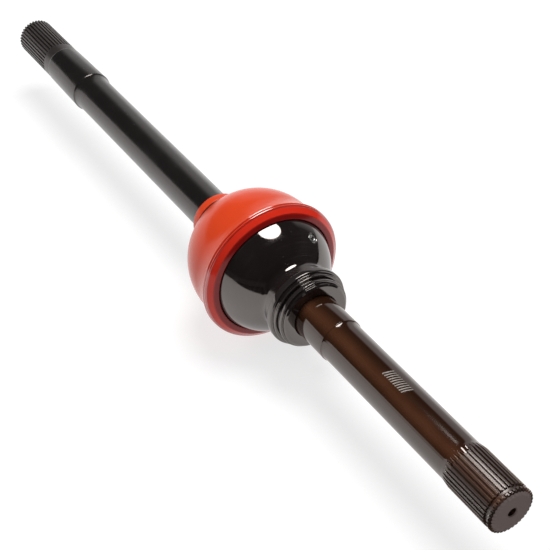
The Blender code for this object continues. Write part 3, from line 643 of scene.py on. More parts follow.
def inner_shaft_outline(s):
    """The inner shaft's section, from one centre drilling to the other."""
    chamfer_r = SPLINE_RADIUS - s.chamfer_rise
    relief = INNER_END + s.inner_spline
    land = relief + s.relief
    land_end = land + s.land
    step_end = land_end + s.land_step
    land_edge = land_end + 0.0002
    race_end = span("race_stop_ring")[0] - s.depth - 2 * CLIP_GAP
    outline = rounded(
        drilled_end(INNER_END, 1, s)
        + [
            (INNER_END, chamfer_r, 0.0004),
            (INNER_END + s.chamfer, SPLINE_RADIUS, 0.0005),
            (relief - 2 * s.depth, SPLINE_RADIUS),
        ]
    )
    outline += straight(relief - s.depth, SPLINE_RADIUS, relief + 3 * s.depth, SPLINE_RADIUS, 14)
    outline += rounded(
        [
            (land - 4 * s.depth, SPLINE_RADIUS),
            (land - s.depth, SPLINE_RADIUS, 0.003),
            (land, s.land_low, 0.001),
            (land + s.land / 2, (s.land_low + s.land_high) / 2),
            (land_end, s.land_high, 0.0008),
            (land_edge, s.land_high - 0.0002),
        ]
    )
    outline += hollow(land_edge, s.land_high - 0.0002, step_end, s.shaft)
    outline += [(step_end, s.shaft), (race_end - 4 * s.depth, s.shaft)]
    outline += [(race_end - 2 * s.depth, SPLINE_RADIUS)]
    outline += rounded(
        [(race_end - s.depth, SPLINE_RADIUS)]
        + clip_groove("race_stop_ring", s)
        + clip_groove("race_snap_ring", s)
        + [
            (INNER_TIP - s.chamfer / 2, SPLINE_RADIUS, EDGE_ROUND),
            (INNER_TIP, SPLINE_RADIUS - s.chamfer / 2, EDGE_ROUND),
        ]
        + drilled_end(INNER_TIP, -1, s)[::-1]
    )
    return outline


def stub_shaft_outline(s):
    """The stub shaft's section, from its seat in the bell to its outer end."""
    journal_end = BELL_FACE + s.journal
    step_end = journal_end + s.journal_step
    journal_edge = journal_end + 0.0003
    spline_start = STUB_END - s.stub_spline
    ramp_start = spline_start - s.ramp
    groove_end = STUB_END - s.chamfer - s.clip_lip
    outline = rounded(
        drilled_end(STUB_SEAT, 1, s)
        + [
            (STUB_SEAT, SPLINE_RADIUS - s.chamfer, EDGE_ROUND),
            (STUB_SEAT + s.chamfer / 2, SPLINE_RADIUS, EDGE_ROUND),
        ]
        + clip_groove("stub_snap_ring", s)
        + clip_groove("stub_o_ring", s)
        + [
            (BELL_FACE + s.journal / 2, SPLINE_RADIUS),
            (journal_end, SPLINE_RADIUS, EDGE_ROUND),
            (journal_edge, SPLINE_RADIUS - 0.0003),
        ]
    )
    outline += hollow(journal_edge, SPLINE_RADIUS - 0.0003, step_end, s.stub)
    outline += [(step_end, s.stub), (ramp_start - 0.004, s.stub), (ramp_start - 0.0015, s.stub)]
    outline += straight(ramp_start, s.stub + 0.00004, spline_start, SPLINE_RADIUS, 18)
    outline += rounded(
        [(spline_start + 0.0015, SPLINE_RADIUS)]
        + groove(groove_end - s.clip_width, groove_end, s.clip_seat, SPLINE_RADIUS)
        + [
            (STUB_END - s.chamfer, SPLINE_RADIUS, 0.0005),
            (STUB_END, SPLINE_RADIUS - s.chamfer_rise, 0.0004),
        ]
        + drilled_end(STUB_END, -1, s)[::-1]
    )
    return outline


def bell_radius(s):
    """Radius of the bell's ball."""
    return PITCH_RADIUS + BALL_RADIUS + s.track_gap + s.wall


def seat_radius(s):
    """Radius of the seat inside the bell that the cage turns in."""
    return RACE_RADIUS + s.cage + 2 * s.sphere_gap


# Stations of the collar, back from its face
COLLAR = {
    "foot": 0.0205,
    "back": 0.0177,
    "crown": 0.0175,
    "front": 0.0122,
    "shoulder": 0.0120,
    "score back": 0.0102,
    "score": 0.0099,
    "score front": 0.0096,
    "undercut": 0.0082,
    "ring": 0.0065,
    "disc": 0.0032,
    "bevel": 0.0010,
    "bore": 0.0005,
    "face": 0.0,
}


def bell_outline(s):
    """The bell's section, from its mouth over the ball and the collar and back through the bore."""
    ball = bell_radius(s)
    centre_r = s.neck + s.neck_fillet
    neck = math.sqrt((ball + s.neck_fillet) ** 2 - centre_r**2)
    to_fillet = math.atan2(centre_r, neck)
    mouth = math.acos(BELL_MOUTH / ball)
    mouth_r = ball * math.sin(mouth)
    foot, back = BELL_FACE - COLLAR["foot"], BELL_FACE - COLLAR["back"]
    outline = [(BELL_MOUTH, mouth_r - 0.0012), (BELL_MOUTH + 0.0003, mouth_r - 0.0004)]
    outline += arc(0, 0, ball, mouth - 0.012, to_fillet, 60)
    outline += arc(neck, centre_r, s.neck_fillet, to_fillet + math.pi, 1.5 * math.pi, 14)[1:]
    outline += [(foot, s.neck)] + hollow(foot, s.neck, back, s.flange - 0.0012, 7)
    collar = [
        ("back", s.flange - 0.0012),
        ("crown", s.flange, 0.0009),
        ("front", s.flange, 0.0009),
        ("shoulder", s.shoulder, 0.0004),
        ("score back", s.shoulder, 0.0001),
        ("score", s.shoulder - 0.00035),
        ("score front", s.shoulder, 0.0001),
        ("undercut", s.shoulder, 0.0006),
        ("undercut", s.undercut, 0.0005),
        ("ring", s.undercut, 0.0005),
        ("ring", s.front_ring, 0.0005),
        ("disc", s.front_ring, 0.0005),
        ("disc", s.face, 0.0004),
        ("bevel", s.face, 0.0003),
        ("face", s.face - 0.0017, 0.0003),
        ("face", SPLINE_RADIUS + s.gap + 0.0007, 0.0002),
        ("bore", SPLINE_RADIUS + s.gap, 0.0002),
    ]
    outline += rounded(
        [(BELL_FACE - COLLAR[station], *rest) for station, *rest in collar]
        + [(s.floor, SPLINE_RADIUS + s.gap), (s.floor, s.pocket)]
    )
    seat = seat_radius(s)
    slope = math.tan(math.radians(MOUTH_SLOPE))
    base = SPLINE_RADIUS * math.hypot(1, slope) + 0.0008
    a, b, c = 1 + slope**2, 2 * slope * base, base**2 - seat**2
    flare = (math.sqrt(b * b - 4 * a * c) - b) / (2 * a)
    outline += arc(0, 0, seat, math.asin(s.pocket / seat), math.acos(-flare / seat), 40)
    outline += rounded(
        [
            (-flare - 0.0003, base + slope * (flare + 0.0003)),
            (BELL_MOUTH, base - slope * BELL_MOUTH, 0.0008),
            (BELL_MOUTH, mouth_r - 0.0012),
        ]
    )
    return outline


def boot_outline(s, joint):
    """The boot's section, from its lip over the bead, dome and neck and back along the inside."""
    inner = bell_radius(joint) + joint.sphere_gap
    dome = inner + s.wall
    fillet_r = s.neck + s.neck_fillet
    neck = s.setback + math.sqrt((dome + s.neck_fillet) ** 2 - fillet_r**2)
    to_fillet = math.atan2(fillet_r, s.setback - neck)
    lip = BOOT_LIP
    edge = math.sqrt(inner**2 - lip**2)
    bore_end = lip - 0.0010
    front_r = BEAD_RADIUS - s.bead - 0.0003
    outline = rounded(
        [
            (bore_end, math.sqrt(inner**2 - bore_end**2)),
            (lip - 0.0002, edge + 0.0002, 0.0002),
            (lip, edge + 0.0009, 0.0004),
            (lip - s.bevel, edge + 0.0054, 0.0010),
            (lip - s.band_end, front_r),
        ]
    )
    front_bead = lip - s.band_end - s.bead
    back_bead = front_bead - 2 * s.bead
    outline += arc(front_bead, front_r, s.bead, 0.15, math.pi - 0.25, 8)
    outline += arc(back_bead, BEAD_RADIUS - s.bead, s.bead, 0.25, math.pi - 0.1, 8)
    skirt, flare, steps = lip - 0.0125, 0.8 * s.skirt_flare, 12
    outline += [(lip - s.crease, dome + s.skirt_flare), (skirt, dome + flare)]
    for share in (k / steps for k in range(1, steps)):
        x = skirt * (1 - share) - s.setback * share
        outline.append((x, dome + flare * (1 - share) ** 2))
    outline += arc(-s.setback, 0, dome, math.pi / 2, to_fillet, 48)
    outline += arc(-neck, fillet_r, s.neck_fillet, to_fillet - math.pi, -math.pi / 2, 10)[1:]
    seat = s.neck - s.groove
    outline += rounded(
        [
            (-neck - 0.0004, s.neck),
            (CLAMP_HIGH + joint.gap, s.neck, 0.0003),
            (CLAMP_HIGH + joint.gap, seat, 0.0003),
            (CLAMP_LOW - joint.gap, seat, 0.0003),
            (CLAMP_LOW - joint.gap, s.neck, 0.0005),
            (BOOT_END, s.neck - 0.0006, 0.0012),
            (BOOT_END, s.bore + 0.0005, 0.0004),
            (BOOT_END + 0.0006, s.bore),
        ]
    )
    bore_angle = math.pi - math.asin(s.bore / inner)
    outline += arc(-s.setback, 0, inner, bore_angle, math.pi / 2, 40)
    outline += [(0, inner)]
    deep = math.sqrt((inner + 0.0021) ** 2 - SEAL_HIGH**2)
    outline += rounded(
        [
            (SEAL_LOW - joint.gap, math.sqrt(inner**2 - SEAL_LOW**2)),
            (SEAL_LOW - joint.gap, deep + 0.0008),
            (SEAL_HIGH + joint.gap, deep),
            (SEAL_HIGH + joint.gap, math.sqrt(inner**2 - SEAL_HIGH**2)),
            (bore_end, math.sqrt(inner**2 - bore_end**2)),
        ]
    )
    return outline


# Shader node groups --------------------------------------------------------------------------------


def turning_marks_group():
    """Fine rings left by turning and polishing, and how strongly they show."""
    name = "Turning Marks"
    if name in bpy.data.node_groups:
        return bpy.data.node_groups[name]
    tree, given = new_group(
        "ShaderNodeTree",
        name,
        {"Across": ("Float", 900.0), "Along": ("Float", 14.0)},
        {"Rings": "Float", "Patches": "Float"},
    )
    place = add(tree, "ShaderNodeTexCoord", out="Object")
    stretch = add(
        tree,
        "ShaderNodeCombineXYZ",
        {"X": given["Across"], "Y": given["Along"], "Z": given["Along"]},
    )
    streaks = add(tree, "ShaderNodeVectorMath", {0: place, 1: stretch}, operation="MULTIPLY")
    rings = noise(tree, streaks, 1.0, 4.0, Roughness=0.65)
    group_output(tree, Rings=rings, Patches=noise(tree, place, 38.0, 3.0))
    return tree


def handling_group():
    """Smudges from hands, and fine dust specks."""
    name = "Handling"
    if name in bpy.data.node_groups:
        return bpy.data.node_groups[name]
    tree, given = new_group(
        "ShaderNodeTree",
        name,
        {"Smudge Scale": ("Float", 26.0), "Speck Scale": ("Float", 420.0)},
        {"Smudges": "Float", "Specks": "Float"},
    )
    place = add(tree, "ShaderNodeTexCoord", out="Object")
    cloud = noise(tree, place, given["Smudge Scale"], 5.0, Distortion=0.6)
    smudges = ramp(tree, cloud, 0.42, 0.72, interpolation_type="SMOOTHSTEP")
    grain = add(
        tree, "ShaderNodeTexVoronoi", {"Vector": place, "Scale": given["Speck Scale"]}, out="Distance"
    )
    rare = calc(tree, "GREATER_THAN", noise(tree, place, 90.0, 2.0), 0.60)
    specks = calc(tree, "MULTIPLY", calc(tree, "LESS_THAN", grain, 0.075), rare)
    group_output(tree, Smudges=smudges, Specks=specks)
    return tree


def worn_edges_group():
    """A mask that is 1 on outside edges, and another that is 1 in creases."""
    name = "Worn Edges"
    if name in bpy.data.node_groups:
        return bpy.data.node_groups[name]
    tree, given = new_group(
        "ShaderNodeTree", name, {"Width": ("Float", 0.06)}, {"Edge": "Float", "Crease": "Float"}
    )
    bend = add(tree, "ShaderNodeNewGeometry", out="Pointiness")
    edge = ramp(tree, bend, 0.51, calc(tree, "ADD", given["Width"], 0.5))
    crease = ramp(tree, bend, calc(tree, "SUBTRACT", 0.5, given["Width"]), 0.49, 1.0, 0.0)
    group_output(tree, Edge=edge, Crease=crease)
    return tree


# Finishes ------------------------------------------------------------------------------------------


def placed_group(tree, group, **values):
    """Places a node group in a material and returns its outputs."""
    inputs = {key.replace("_", " ").title(): value for key, value in values.items()}
    return add(tree, "ShaderNodeGroup", inputs, node_tree=group).node.outputs


def mixed(tree, share, first, second):
    """A colour mixed from first to second by a mask."""
    node = tree.nodes.new("ShaderNodeMix")
    node.data_type = "RGBA"
    for socket, value in ((node.inputs[0], share), (node.inputs[6], first), (node.inputs[7], second)):
        if isinstance(value, bpy.types.NodeSocket):
            tree.links.new(value, socket)
        else:
            socket.default_value = (*value, 1.0)
    return node.outputs[2]


def scaled(rgb, factor):
    """A lighter or darker colour."""
    return tuple(min(1.0, factor * channel) for channel in rgb)


def blank_material(name, **constants):
    """A new material, its tree and its shader, whose constant inputs are given with _ for spaces.

    The tree and the shader are None if the material was made before.
    """
    made = bpy.data.materials.get(name)
    if made:
        return made, None, None
    made = bpy.data.materials.new(name)
    made.use_nodes = True
    shader = made.node_tree.nodes["Principled BSDF"]
    for key, value in constants.items():
        shader.inputs[key.replace("_", " ")].default_value = value
    return made, made.node_tree, shader


def fed(shader, name):
    """What feeds one of a shader's inputs so far."""
    return shader.inputs[name].links[0].from_socket


def feed(shader, **sources):
    """Feeds a shader's inputs, whose names are given with _ for spaces."""
    for key, source in sources.items():
        shader.id_data.links.new(source, shader.inputs[key.replace("_", " ")])


def metal(name, tint, edge_tint, rough, rings, bump, **constants):
    """A turned and polished metal: rings and smudges in its gloss, and edges worn lighter."""
    made, tree, shader = blank_material(name, **constants)
    if tree is None:
        return made, None, None
    marks = placed_group(tree, turning_marks_group(), across=rings)
    hands = placed_group(tree, handling_group())
    worn = placed_group(tree, worn_edges_group())
    base = mixed(tree, marks["Patches"], scaled(tint, 0.72), scaled(tint, 1.25))
    base = mixed(tree, calc(tree, "MULTIPLY", worn["Edge"], 0.55), base, edge_tint)
    base = mixed(tree, calc(tree, "MULTIPLY", hands["Specks"], 0.5), base, DUST)
    gloss = calc(tree, "MULTIPLY_ADD", marks["Rings"], 0.55 * rough, 0.65 * rough)
    gloss = calc(tree, "MULTIPLY_ADD", hands["Smudges"], 0.35 * rough, gloss)
    gloss = calc(tree, "MULTIPLY_ADD", worn["Edge"], 0.10, gloss)
    relief = add(
        tree, "ShaderNodeBump", {"Height": marks["Rings"], "Strength": bump, "Distance": 0.00002}
    )
    feed(shader, Base_Color=base, Roughness=gloss, Normal=relief)
    return made, tree, shader


def polished_black(f):
    """Mirror polish with fine hoop scratches on the ball, and a cleaner collar."""
    made, tree, shader = metal(
        "Polished black steel",
        f.polished_black,
        (0.09, 0.085, 0.08),
        0.055,
        700.0,
        0.012,
        IOR=2.1,
        Specular_Tint=WARM,
    )
    if tree is None:
        return made
    axes = object_place(tree)[1]
    ball = calc(tree, "LESS_THAN", axes["X"], JOINT.x + BALL_FACE_END)
    marks = placed_group(tree, turning_marks_group(), across=2600.0, along=9.0)
    patch = ramp(tree, marks["Patches"], 0.45, 0.70)
    scratch = ramp(tree, marks["Rings"], 0.52, 0.68)
    share = calc(tree, "MULTIPLY", calc(tree, "MULTIPLY", patch, scratch), ball)
    worn = calc(tree, "MULTIPLY", share, 0.5)
    base = mixed(tree, worn, fed(shader, "Base Color"), (0.045, 0.038, 0.034))
    gloss = calc(tree, "MULTIPLY_ADD", share, 0.30, fed(shader, "Roughness"))
    fillet = band(tree, axes["X"], JOINT.x + FILLET_MIDDLE, 0.0025, 0.0040, 0.12)
    feed(shader, Base_Color=base, Roughness=calc(tree, "ADD", fillet, gloss))
    return made


def satin_black(f, s):
    """Satin oxide on the inner shaft, drier and lighter on the spline's teeth and the relief."""
    made, tree, shader = metal(
        "Satin black steel",
        f.satin_black,
        (0.10, 0.09, 0.085),
        0.20,
        1100.0,
        0.18,
        IOR=1.75,
        Specular_Tint=WARM,
    )
    if tree is None:
        return made
    axes = object_place(tree)[1]
    across = add(tree, "ShaderNodeCombineXYZ", {"Y": axes["Y"], "Z": axes["Z"]})
    radius = add(tree, "ShaderNodeVectorMath", {0: across}, out="Value", operation="LENGTH")
    relief = JOINT.x + INNER_END + s.inner_spline
    spline = calc(tree, "LESS_THAN", axes["X"], relief)
    zone = calc(tree, "LESS_THAN", axes["X"], relief + s.relief)
    top = ramp(tree, radius, SPLINE_RADIUS - 0.0006, SPLINE_RADIUS - 0.0002)
    lands = calc(tree, "MULTIPLY", calc(tree, "MULTIPLY_ADD", spline, 0.45, 0.35), zone)
    lands = calc(tree, "MULTIPLY", lands, top)
    base = mixed(tree, lands, fed(shader, "Base Color"), (0.050, 0.041, 0.038))
    gloss = calc(tree, "MULTIPLY_ADD", zone, 0.14, fed(shader, "Roughness"))
    feed(shader, Base_Color=base, Roughness=gloss)
    return made


def bearing_steel(f):
    """Ground and hardened steel."""
    edges = (0.75, 0.75, 0.76)
    return metal("Bearing steel", f.bearing, edges, 0.12, 1500.0, 0.15, Metallic=1.0)[0]


def spring_steel(f):
    """Dark drawn steel."""
    edges = (0.40, 0.40, 0.41)
    return metal("Spring steel", f.spring, edges, 0.32, 2200.0, 0.3, Metallic=1.0)[0]


def zinc_plate(f):
    """Bright plating."""
    edges = (0.85, 0.84, 0.80)
    return metal("Zinc plate", f.zinc, edges, 0.26, 1800.0, 0.2, Metallic=1.0)[0]


def bronzed_steel(f, s):
    """Bronze-brown polished steel with a blank etched panel on the plain stretch of the shaft, painted sheen in
    bands round the shaft, and an end face painted lighter.
    """
    made, tree, shader = metal(
        "Bronzed steel",
        f.bronze,
        (0.26, 0.15, 0.09),
        0.085,
        900.0,
        0.06,
        IOR=1.85,
        Specular_Tint=WARM,
    )
    if tree is None:
        return made
    place, axes = object_place(tree)
    turn = calc(tree, "ARCTAN2", axes["Z"], axes["Y"])
    # Painted sheen: the bronze is lightest in bands round the shaft and darker between them, standing in for a
    # broad reflection and the shade beside it.
    phase = calc(tree, "SUBTRACT", turn, math.radians(SHEEN_TURN))
    drift = noise(tree, place, 16.0, 2.0)
    phase = calc(tree, "MULTIPLY", calc(tree, "MULTIPLY_ADD", drift, 0.4, phase), SHEEN_BANDS)
    painted_sheen = calc(tree, "MULTIPLY_ADD", calc(tree, "COSINE", phase), 0.5, 0.5)
    dark = scaled(f.bronze, 0.30)
    base = mixed(tree, calc(tree, "POWER", painted_sheen, 2.2), dark, fed(shader, "Base Color"))
    # Painted light: the end face is coloured a lighter grey, standing in for light on a face that the lamps hardly
    # reach.
    face = calc(tree, "GREATER_THAN", axes["X"], JOINT.x + STUB_END - 0.0012)
    base = mixed(tree, face, base, (0.28, 0.215, 0.20))
    teeth = calc(tree, "GREATER_THAN", axes["X"], JOINT.x + STUB_END - s.stub_spline)
    gloss = calc(tree, "MULTIPLY_ADD", teeth, 0.26, fed(shader, "Roughness"))

    along = calc(tree, "MULTIPLY_ADD", turn, PANEL_SLANT, axes["X"])
    sides = within(tree, along, JOINT.x + PANEL_START, JOINT.x + PANEL_END)
    ends = within(tree, turn, math.radians(PANEL_LOW), math.radians(PANEL_HIGH))
    lines = calc(tree, "SINE", calc(tree, "MULTIPLY", along, math.tau / PANEL_PITCH))
    hatch = calc(tree, "MULTIPLY", sides, ends)
    hatch = calc(tree, "MULTIPLY", hatch, calc(tree, "GREATER_THAN", lines, 0.15))
    fleck = calc(tree, "MULTIPLY_ADD", noise(tree, place, 1500.0, 2.0), 0.5, 0.5)
    etched = calc(tree, "MULTIPLY", hatch, fleck)
    base = mixed(tree, etched, base, (0.24, 0.22, 0.20))
    feed(shader, Base_Color=base, Roughness=calc(tree, "MULTIPLY_ADD", etched, 0.35, gloss))
    return made


def orange_urethane(f, s):
    """Satin moulded urethane: flow clouds, moulding grain, a redder rim, and painted shade in its creases and on
    the lip's bevel.
    """
    made, tree, shader = blank_material(
        "Orange urethane", IOR=1.41, Coat_IOR=2.1, Coat_Roughness=0.05
    )
    if tree is None:
        return made
    hands = placed_group(tree, handling_group(), smudge_scale=18.0, speck_scale=500.0)
    worn = placed_group(tree, worn_edges_group(), width=0.05)
    place, axes = object_place(tree)
    along, lip = axes["X"], JOINT.x + BOOT_LIP
    flow = noise(tree, place, 9.0, 4.0)
    base = mixed(tree, flow, scaled(f.orange, 0.86), scaled(f.orange, 1.12))
    rim = ramp(tree, along, lip - s.crease, lip - s.band_end)
    base = mixed(tree, rim, base, tuple(f.rim))
    # Painted shade: dark red lines in the creases and in the valley between the beads.
    for station in (s.band_end + 0.0003, s.valley, s.crease):
        line = band(tree, along, lip - station, 0.0001, 0.0006, 0.6)
        base = mixed(tree, line, base, tuple(f.crease_shade))
    # Painted shade: the lip's bevel, which faces away from the light above, is made a darker red.
    front = ramp(tree, along, lip - s.bevel - 0.0002, lip - 0.7 * s.bevel)
    base = mixed(tree, front, base, scaled(f.crease_shade, 0.9))
    base = mixed(tree, calc(tree, "MULTIPLY", worn["Edge"], 0.2), base, (0.74, 0.10, 0.04))
    base = mixed(tree, calc(tree, "MULTIPLY", hands["Specks"], 0.35), base, (0.30, 0.03, 0.02))
    gloss = calc(tree, "MULTIPLY_ADD", hands["Smudges"], 0.03, 0.23)
    gloss = calc(tree, "MULTIPLY_ADD", rim, -0.12, gloss)
    beads = band(tree, along, lip - s.valley, 2 * s.bead, 2 * s.bead + 0.0004)
    waves, grain = noise(tree, place, 45.0, 1.0), noise(tree, place, 1400.0, 2.0)
    height = calc(tree, "MULTIPLY_ADD", waves, 1.2, grain)
    relief = add(tree, "ShaderNodeBump", {"Height": height, "Strength": 0.12, "Distance": 0.0001})
    feed(shader, Base_Color=base, Roughness=gloss, Coat_Weight=beads, Normal=relief)
    return made


def black_rubber(f):
    """Matt rubber, glossier where it was handled."""
    made, tree, shader = blank_material("Black rubber", IOR=1.5)
    if tree is None:
        return made
    hands = placed_group(tree, handling_group(), smudge_scale=60.0, speck_scale=900.0)
    base = mixed(tree, hands["Smudges"], tuple(f.rubber), scaled(f.rubber, 2.2))
    gloss = calc(tree, "MULTIPLY_ADD", hands["Smudges"], 0.12, 0.55)
    feed(shader, Base_Color=base, Roughness=gloss)
    return made


# Operators -----------------------------------------------------------------------------------------


class AxlePiece:
    """What the operators share."""

    bl_options = {"REGISTER", "UNDO"}

    @staticmethod
    def settle(piece, body, slot, *nodes):
        """Puts a finished piece on its body in place of its CAD nodes."""
        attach(piece, body)
        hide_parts(*nodes)


class AXLE_OT_inner_shaft(AxlePiece, bpy.types.Operator):
    """Build the inner shaft with its splines, relief and seal land"""

    bl_idname = "axle.inner_shaft"
    bl_label = "Inner Shaft"

    def execute(self, context):
        s = context.scene.axle_shafts
        piece = turned(
            "inner_shaft_finished",
            inner_shaft_outline(s),
            satin_black(context.scene.axle_finishes, s),
            s.teeth * s.columns,
            teeth=s.teeth,
            root_radius=SPLINE_RADIUS - s.depth,
            tooth_depth=s.depth,
            valley_start=JOINT.x + INNER_END,
            valley_end=JOINT.x + INNER_END + s.inner_spline,
            end_run_out=2 * s.depth,
        )
        self.settle(piece, "inner_axle", "inner_shaft", "inner_shaft")
        return {"FINISHED"}


class AXLE_OT_stub_shaft(AxlePiece, bpy.types.Operator):
    """Build the stub shaft with its journal, step, spline and clip groove"""

    bl_idname = "axle.stub_shaft"
    bl_label = "Stub Shaft"

    def execute(self, context):
        s = context.scene.axle_shafts
        piece = turned(
            "stub_shaft_finished",
            stub_shaft_outline(s),
            bronzed_steel(context.scene.axle_finishes, s),
            s.teeth * s.columns,
            teeth=s.teeth,
            root_radius=SPLINE_RADIUS - s.depth,
            tooth_depth=s.depth,
            valley_start=JOINT.x + STUB_END - s.stub_spline,
            valley_end=JOINT.x + STUB_END,
            start_run_out=s.ramp,
        )
        self.settle(piece, "outer_axle", "stub_shaft", "stub_shaft")
        return {"FINISHED"}


def plug_turn():
    """Rotation that lays +X along the grease plug's axis, from its CAD node's place."""
    low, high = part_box("grease_plug")
    return ((low + high) / 2 - JOINT).normalized()


def placed_on_plug(piece):
    """Moves a piece turned about X at the origin onto the plug's axis."""
    turn = plug_turn().to_track_quat("X", "Z").to_matrix().to_4x4()
    piece.data.transform(Matrix.Translation(JOINT) @ turn)
    return piece


class AXLE_OT_bell(AxlePiece, bpy.types.Operator):
    """Build the ball-shaped bell with its collar, bore, ball tracks and plug hole"""

    bl_idname = "axle.bell"
    bl_label = "Bell"

    def execute(self, context):
        s = context.scene.axle_joint
        finish = polished_black(context.scene.axle_finishes)
        piece = turned("outer_bell_finished", bell_outline(s), finish, s.facets)
        tracks = ball_tracks("bell_tracks", s, finish, 90 - 33, 33 + 42)
        ball, radius = bell_radius(s), s.plug + s.gap
        inside, shelf = seat_radius(s) - 0.004, ball - s.plug_recess - s.plug_length - s.gap
        hole = [
            (inside, 0),
            (inside, s.port),
            (shelf, s.port),
            (shelf, radius),
            (ball - 0.0006, radius),
            (ball + 0.0014, radius + 0.0020),
            (ball + 0.0014, 0),
        ]
        bore = placed_on_plug(turned("plug_hole", hole, finish, 64, centre=0))
        piece = cut(piece, tracks, bore)
        self.settle(piece, "outer_axle", "outer_bell", "outer_bell")
        return {"FINISHED"}


class AXLE_OT_grease_plug(AxlePiece, bpy.types.Operator):
    """Build the grease plug with its hexagon socket"""

    bl_idname = "axle.grease_plug"
    bl_label = "Grease Plug"

    def execute(self, context):
        s = context.scene.axle_joint
        finish = zinc_plate(context.scene.axle_finishes)
        top = bell_radius(s) - s.plug_recess
        outline = rounded(
            [
                (top - s.plug_length, 0),
                (top - s.plug_length, s.plug, 0.0005),
                (top, s.plug, 0.0005),
                (top, 0.0024, 0.0003),
                (top - 0.0003, 0.0021),
                (top - 0.0003, 0),
            ]
        )
        plug = turned("grease_plug_finished", outline, finish, 64, centre=0)
        low, high = top - 0.0026, top + 0.001
        socket = [(low, 0), (low, s.socket), (high, s.socket), (high, 0)]
        hexagon = turned("plug_socket", socket, finish, 6, centre=0)
        piece = placed_on_plug(cut(plug, hexagon))
        self.settle(piece, "outer_axle", "plug", "grease_plug")
        return {"FINISHED"}


class AXLE_OT_boot(AxlePiece, bpy.types.Operator):
    """Build the hollow ball-shaped boot with its beaded rim"""

    bl_idname = "axle.boot"
    bl_label = "Boot"

    def execute(self, context):
        joint = context.scene.axle_joint
        s = context.scene.axle_boot
        outline = boot_outline(s, joint)
        finish = orange_urethane(context.scene.axle_finishes, s)
        piece = turned("boot_finished", outline, finish, joint.facets)
        self.settle(piece, "inner_axle", "boot", "boot")
        return {"FINISHED"}


class AXLE_OT_boot_clamp(AxlePiece, bpy.types.Operator):
    """Build the band clamp on the boot's neck, with its crimped ear"""

    bl_idname = "axle.boot_clamp"
    bl_label = "Boot Clamp"

    def execute(self, context):
        s, joint = context.scene.axle_boot, context.scene.axle_joint
        finish = spring_steel(context.scene.axle_finishes)
        inner = s.neck - s.groove + joint.gap
        outer = inner + s.band
        strap = turned(
            "boot_clamp_finished",
            rounded(
                [
                    (CLAMP_LOW, inner),
                    (CLAMP_LOW, outer, 0.0002),
                    (CLAMP_HIGH, outer, 0.0002),
                    (CLAMP_HIGH, inner, 0.0002),
                    (CLAMP_LOW, inner),
                ]
            ),
            finish,
            joint.facets,
        )
        half, low = s.ear_width / 2, inner + s.band / 2
        side = [(1, 0), (0.72, 0.45), (0.86, 0.80), (0.45, 1)]
        section = [(-x * half, low + rise * s.ear) for x, rise in side]
        section += [(x * half, low + rise * s.ear) for x, rise in reversed(side)]
        mesh = bmesh.new()
        loop = [mesh.verts.new((JOINT.x + CLAMP_LOW + 0.0002, r, side)) for side, r in section]
        grown = bmesh.ops.extrude_face_region(mesh, geom=[mesh.faces.new(loop)])
        moved = [v for v in grown["geom"] if isinstance(v, bmesh.types.BMVert)]
        width = CLAMP_HIGH - CLAMP_LOW - 0.0004
        bmesh.ops.translate(mesh, verts=moved, vec=(width, 0, 0))
        bmesh.ops.recalc_face_normals(mesh, faces=mesh.faces)
        bmesh.ops.bevel(
            mesh, geom=mesh.edges[:], offset=0.00018, segments=2, profile=0.5, affect="EDGES"
        )
        turn = Matrix.Rotation(s.ear_angle, 3, "X")
        bmesh.ops.rotate(mesh, verts=mesh.verts, cent=(0, 0, 0), matrix=turn)
        piece = cut(strap, cutter_object("clamp_ear", mesh, finish), operation="UNION")
        self.settle(piece, "inner_axle", "spring_steel", "boot_clamp")
        return {"FINISHED"}


class AXLE_OT_balls(AxlePiece, bpy.types.Operator):
    """Build the six balls, on the three bodies that carry them"""

    bl_idname = "axle.balls"
    bl_label = "Balls"

    def execute(self, context):
        finish = bearing_steel(context.scene.axle_finishes)
        bodies = frame["record"]["behaviour"]["bodies"]
        for body, nodes in bodies.items():
            carried = sorted(node for node in nodes if node.startswith("ball_"))
            if not carried:
                continue
            centres = [sum(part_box(node), Vector()) / 2 for node in carried]
            source = points_object(body + "_points", centres, joined=False)
            inputs = {"Radius": BALL_RADIUS, "Finish": finish}
            piece = polished(evaluated(body + "_balls", source, balls_tree(), inputs))
            self.settle(piece, body, "bearing_steel", *carried)
        return {"FINISHED"}


